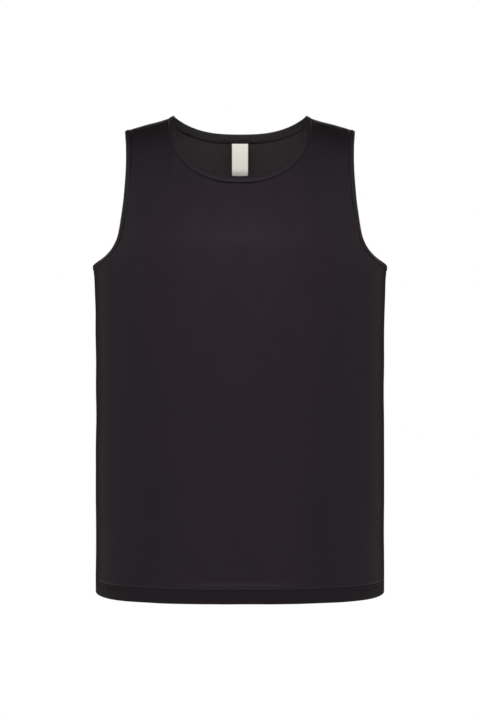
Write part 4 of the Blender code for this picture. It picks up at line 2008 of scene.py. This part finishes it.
@dataclass(frozen=True)
class Studio:
    """A bright plain studio: pale floor, white surroundings, a tent of soft boxes, the camera.

    The camera stands distance before the shirt, at eye_height, and shows the plane of its side
    seams at pixels_per_metre. surround is the strength of the light from all round.
    """

    distance: float = 2.4
    eye_height: float = -0.3538
    pixels_per_metre: float = 667.0
    photo_height: int = 720
    sensor: float = 36.0
    floor_height: float = -1.45
    floor_radius: float = 2.2
    floor_glow: float = 0.55
    surround: float = 0.035
    box_target: tuple[float, float, float] = (0.0, 0.0, -0.30)
    box_distance: float = 3.0
    box_size: float = 1.1
    boxes: tuple[BoxRow, ...] = (
        BoxRow("key", 20.0, (0,), 17.8),
        BoxRow("key_side", 20.0, (-70, -35, 35, 70), 8.8),
        BoxRow("high", 40.0, (0,), 8.5),
        BoxRow("high_side", 40.0, (-70, -35, 35, 70), 5.0),
        BoxRow("level", 0.0, (0,), 7.2),
        BoxRow("level_side", 0.0, (-70, -35, 35, 70), 5.6),
        BoxRow("low", -20.0, (-70, -35, 0, 35, 70), 5.0),
        BoxRow("flank_high", 20.0, (-110, 110), 3.2),
        BoxRow("flank", 0.0, (-110, 110), 3.2),
        BoxRow("flank_low", -20.0, (-110, 110), 3.2),
        BoxRow("top_front", 60.0, (-35, 0, 35), 3.1),
        BoxRow("top", 85.0, (0,), 3.1),
        BoxRow("behind", -12.0, (180,), 16.0),
        BoxRow("behind_high", 32.0, (135, 180, 225), 6.5),
    )

    def build(self) -> None:
        """Makes the camera, the surroundings, the floor and the lights."""
        scene = bpy.context.scene
        scene.view_settings.view_transform = "Standard"
        data = bpy.data.cameras.new("camera")
        data.sensor_width = self.sensor
        data.lens = self.distance * self.pixels_per_metre / self.photo_height * self.sensor
        camera = bpy.data.objects.new("camera", data)
        camera.location = (0.0, -self.distance, self.eye_height)
        camera.rotation_euler = (math.pi / 2, 0.0, 0.0)
        bpy.context.collection.objects.link(camera)
        scene.camera = camera
        self.surroundings(scene)
        self.floor()
        for row in self.boxes:
            row.build(Vector(self.box_target), self.box_distance, self.box_size)

    def surroundings(self, scene: bpy.types.Scene) -> None:
        """White behind the shirt, and a faint even light on it from all round.

        Args:
            scene: the scene that gets them.
        """
        world = bpy.data.worlds.new("surroundings")
        scene.world = world
        world.use_nodes = True
        bench = NodeBench(world.node_tree)
        faint, white = (
            bench.add("ShaderNodeBackground", {"Color": opaque(WHITE), "Strength": strength})
            for strength in (self.surround, 1.0)
        )
        seen = bench.add("ShaderNodeLightPath").outputs["Is Camera Ray"]
        both = bench.add("ShaderNodeMixShader", {0: seen, 1: faint.outputs[0], 2: white.outputs[0]})
        bench.fill(world.node_tree.nodes["World Output"], {"Surface": both.outputs[0]})

    def floor(self) -> bpy.types.Object:
        """Makes a plain pale floor, far below the hanging shirt.

        Returns:
            The floor.
        """
        shape = bmesh.new()
        place = Matrix.Translation((0, 0, self.floor_height))
        radius = self.floor_radius
        bmesh.ops.create_circle(shape, cap_ends=True, segments=96, radius=radius, matrix=place)
        made = FinishBench("pale floor")
        bench = made.bench
        place = bench.add("ShaderNodeTexCoord").outputs["Object"]
        mottle = bench.add("ShaderNodeTexNoise", {"Vector": place, "Scale": 6.0}).outputs[0]
        pale = made.shaded({
            "Base Color": bench.blend(mottle, opaque(WHITE, 0.80), opaque(WHITE, 0.84)),
            "Roughness": 0.7,
            "Emission Color": opaque(WHITE),
            "Emission Strength": self.floor_glow,
        })
        ground = finished("floor", shape, pale)
        return ground


BODY_KNIT = KnitFinish(
    name="black body knit",
    low=(0.0042, 0.0032, 0.0040),
    high=(0.0080, 0.0062, 0.0076),
    wale=0.00085,
    course=0.00070,
    roughness=0.42,
    gloss=0.15,
    relief=0.25,
)
BINDING_KNIT = KnitFinish(
    name="black binding knit",
    low=(0.0050, 0.0039, 0.0047),
    high=(0.0100, 0.0078, 0.0093),
    wale=0.0010,
    course=0.0008,
    roughness=0.42,
    gloss=0.17,
    relief=0.30,
)
# Painted light: the inner sides are far paler than the black face so the inside reads lit; their
# higher roughness is the reverse's own duller knit
BODY_REVERSE_PAINTED_LIGHT = KnitFinish(
    name="reverse of the body knit",
    low=(0.029, 0.0250, 0.0270),
    high=(0.047, 0.0405, 0.0430),
    wale=0.0009,
    course=0.0006,
    roughness=0.60,
    gloss=0.15,
    relief=0.25,
)
BINDING_REVERSE_PAINTED_LIGHT = KnitFinish(
    name="inner side of the binding knit",
    low=(0.027, 0.0235, 0.0250),
    high=(0.043, 0.0385, 0.0400),
    wale=0.0010,
    course=0.0008,
    roughness=0.55,
    gloss=0.15,
    relief=0.30,
)
BLACK_THREAD = ThreadFinish("black thread", (0.020, 0.017, 0.019))
WHITE_SATIN = SatinFinish("white label satin", (0.99, 0.99, 0.885))


@dataclass(frozen=True)
class Cut:
    """Flat size of a cut piece in metres, and its area where it isn't a rectangle."""

    width: float
    length: float
    area: float | None = None


@dataclass
class Shirt:
    """The whole shirt, built piece by piece on one form."""

    form: ShirtForm = field(default_factory=ShirtForm)
    armhole_count: int = 150
    neck_count: int = 110
    pieces: list[bpy.types.Object] = field(default_factory=list)

    def note(
        self, piece: bpy.types.Object, node: str | None = None
    ) -> bpy.types.Object:
        """Puts a finished piece on its body, in the place of its solid.

        Args:
            piece: the finished piece.
            node: the solid that it stands for, if any.

        Returns:
            The piece.
        """
        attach(piece, BODY)
        if node:
            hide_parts(node)
        self.pieces.append(piece)
        LOG.info("%s: %d faces", piece.name, len(piece.data.polygons))
        return piece

    def build(self) -> None:
        """Builds and dresses every piece, and puts each on the body."""
        grain = knit_group()
        # The reverse finishes carry painted light that brightens the inside of the shirt
        body, reverse = BODY_KNIT.material(grain), BODY_REVERSE_PAINTED_LIGHT.material(grain)
        thread, satin = BLACK_THREAD.material(), WHITE_SATIN.material()
        front = PanelCloth("front_cloth", "front_panel", self.form, FRONT, FOLDS)
        back = PanelCloth("back_cloth", "back_panel", self.form, BACK, FOLDS)
        for panel in (front, back):
            piece = self.note(panel.build(body, reverse), panel.node)
        self.bindings(BINDING_KNIT.material(grain), BINDING_REVERSE_PAINTED_LIGHT.material(grain))
        hem = Sewing("hem_stitches", StitchPlan())
        for panel in (front, back):
            self.sew_hem(hem, panel)
        self.note(hem.build(thread))
        for strip in InnerSeams(self.form, back.sheet).strips():
            piece = self.note(strip.build(reverse, reverse))
        label = self.note(NeckLabel(self.form).build(satin), "neck_label")

    def bindings(self, outside: bpy.types.Material, inside: bpy.types.Material) -> None:
        """Builds the neck binding and both armhole bindings.

        Args:
            outside: the finish of their face.
            inside: the finish of their inner side.
        """
        armhole = self.form.armhole_ring(self.armhole_count)
        # The neck binding's lap gets painted shadow at these places across
        neck = StripPlan(lap=0.0046, lap_creases=((0.0, 0.040, 1.0), (-0.080, 0.010, 0.9)))
        made = (
            ("neck_binding", self.form.neck_ring(self.neck_count), neck, 11),
            ("armhole_binding_left", armhole, StripPlan(), 12),
            ("armhole_binding_right", armhole.mirrored(), StripPlan(), 13),
        )
        for node, ring, plan, seed in made:
            strip = FoldedStrip(f"{node}_strip", ring, plan, seed=seed)
            piece = self.note(strip.build(outside, inside), node)

    def sew_hem(self, sewing: Sewing, panel: PanelCloth) -> None:
        """Sews the hem's two rows of stitches in one panel's grooves.

        Args:
            sewing: the hem's stitches, which get the new ones.
            panel: the panel.
        """
        heights, depths = panel.hem.rows()
        for height in (panel.hem.lower_row, panel.hem.upper_row):
            row = int(np.argmin(np.abs(heights - height) + depths))
            sewing.row(panel.points[row], panel.normals[row])


def main() -> None:
    """Builds the studio and the shirt."""
    logging.basicConfig(level=logging.INFO, format="%(name)s %(message)s")
    Studio().build()
    Shirt().build()


if __name__ == "__main__":
    main()
